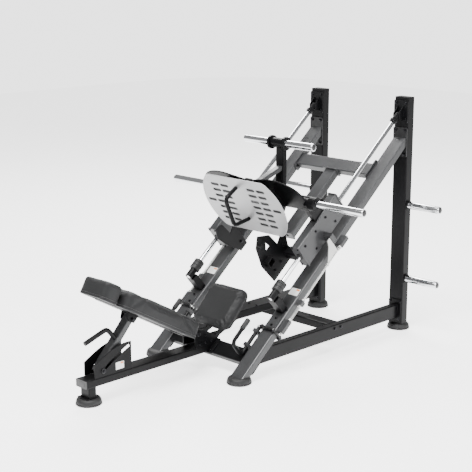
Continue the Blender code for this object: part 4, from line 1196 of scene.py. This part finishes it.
@dataclass
class Studio:
    """Pale floor, soft light and the camera."""

    camera_at: Point3 = (5.072, -5.0654, 2.4726)
    camera_turn: Point3 = (76.7776, 0.0, 45.1138)
    lens: float = 89.23
    floor_half: float = 14.0
    floor_glow: float = 2.3
    backdrop: float = 2.5            # how much brighter the world looks than it lights
    world_light: float = 0.34
    lamps: tuple[tuple[str, Point3, float, float], ...] = (("key", (1.0, -3.0, 6.5), 3.0, 1050),
                                                           ("fill", (6.5, 1.5, 3.5), 3.0, 300),
                                                           ("rim", (-3.5, 3.5, 6.0), 3.5, 700))

    def floor(self) -> None:
        """Builds the floor."""
        material = bpy.data.materials.new("pale_floor")
        material.use_nodes = True
        shader = material.node_tree.nodes["Principled BSDF"]
        cloud = add_node(material.node_tree, "TexNoise", {"Scale": 2.5, "Detail": 4})
        colour = mix(material.node_tree, cloud.outputs[0], (0.86, 0.86, 0.86), (0.90, 0.90, 0.90))
        material.node_tree.links.new(colour, shader.inputs["Base Color"])
        shader.inputs["Roughness"].default_value = 0.6
        shader.inputs["Emission Color"].default_value = (1, 1, 1, 1)
        shader.inputs["Emission Strength"].default_value = self.floor_glow
        shape = Shape()
        shape.slab(rounded(self.floor_half, self.floor_half, 3.0), -0.02, -0.0002)
        data = bpy.data.meshes.new("floor")
        shape.mesh.to_mesh(data)
        shape.mesh.free()
        data.materials.append(material)
        item = bpy.data.objects.new("floor", data)
        bpy.context.scene.collection.objects.link(item)

    def lamp(self, name: str, at: Point3, size: float, power: float) -> None:
        """Adds a soft area light that looks at the machine's middle."""
        data = bpy.data.lights.new(name, "AREA")
        data.shape = "SQUARE"
        data.size = size
        data.energy = power
        item = bpy.data.objects.new(name, data)
        item.location = at
        item.rotation_euler = (Vector((0, 0, 0.7)) - Vector(at)).to_track_quat("-Z", "Y").to_euler()
        bpy.context.scene.collection.objects.link(item)

    def build(self) -> None:
        """Builds the stage and sets the camera."""
        self.floor()
        for name, at, size, power in self.lamps:
            self.lamp(name, at, size, power)
        world = bpy.data.worlds.new("studio")
        world.use_nodes = True
        background = world.node_tree.nodes["Background"]
        background.inputs["Color"].default_value = (1, 1, 1, 1)
        seen = add_node(world.node_tree, "LightPath").outputs["Is Camera Ray"]
        strength = add_node(world.node_tree, "Math", {0: seen, 1: self.backdrop, 2: self.world_light},
                            operation="MULTIPLY_ADD")
        world.node_tree.links.new(strength.outputs[0], background.inputs["Strength"])
        bpy.context.scene.world = world
        data = bpy.data.cameras.new("camera")
        data.lens = self.lens
        camera = bpy.data.objects.new("camera", data)
        camera.location = self.camera_at
        camera.rotation_euler = [math.radians(angle) for angle in self.camera_turn]
        bpy.context.scene.collection.objects.link(camera)
        bpy.context.scene.camera = camera


def dress_frame(shop: Workshop) -> None:
    """Gives every carried-over node the finish of its material slot."""
    slots = {row["node"]: Slot(row["material_slot"]) for row in frame["record"]["subparts"]}
    for name, item in frame["nodes"].items():
        material = shop.material(CAD_FINISHES[slots[name]])
        for place in item.material_slots:
            place.material = material


def cushions(shop: Workshop) -> list[Cushion]:
    """Returns the seat, back and head pads."""
    return [
        Cushion(shop, "seat_cushion", "seat_pad", SEAT, Body.FRAME, 0.163, 0.148, 0.0, 0.055, -0.0588, -0.010),
        Cushion(shop, "back_cushion", "back_pad", BACK, Body.BACKREST, 0.163, 0.320, -0.324, 0.050, -0.1120, -0.010,
                (-0.190, -0.520)),
        Cushion(shop, "head_cushion", "head_pad", BACK, Body.BACKREST, 0.119, 0.069, -0.727, 0.040, -0.1120, -0.003,
                (-0.752,)),
    ]


def main() -> None:
    """Builds the machine's look, sub-assembly by sub-assembly."""
    logging.basicConfig(level=logging.INFO, format="%(message)s")
    shop = Workshop()
    dress_frame(shop)
    assemblies = [RubberFeet(shop), Bumpers(shop), ChromeBars(shop), *cushions(shop), Footplate(shop),
                  Fasteners(shop), SafetyDetails(shop), Wipers(shop), TubeCaps(shop), Quadrants(shop), Labels(shop),
                  Studio()]
    for assembly in assemblies:
        assembly.build()
        LOG.info("built %s", type(assembly).__name__)


if __name__ == "__main__":
    main()
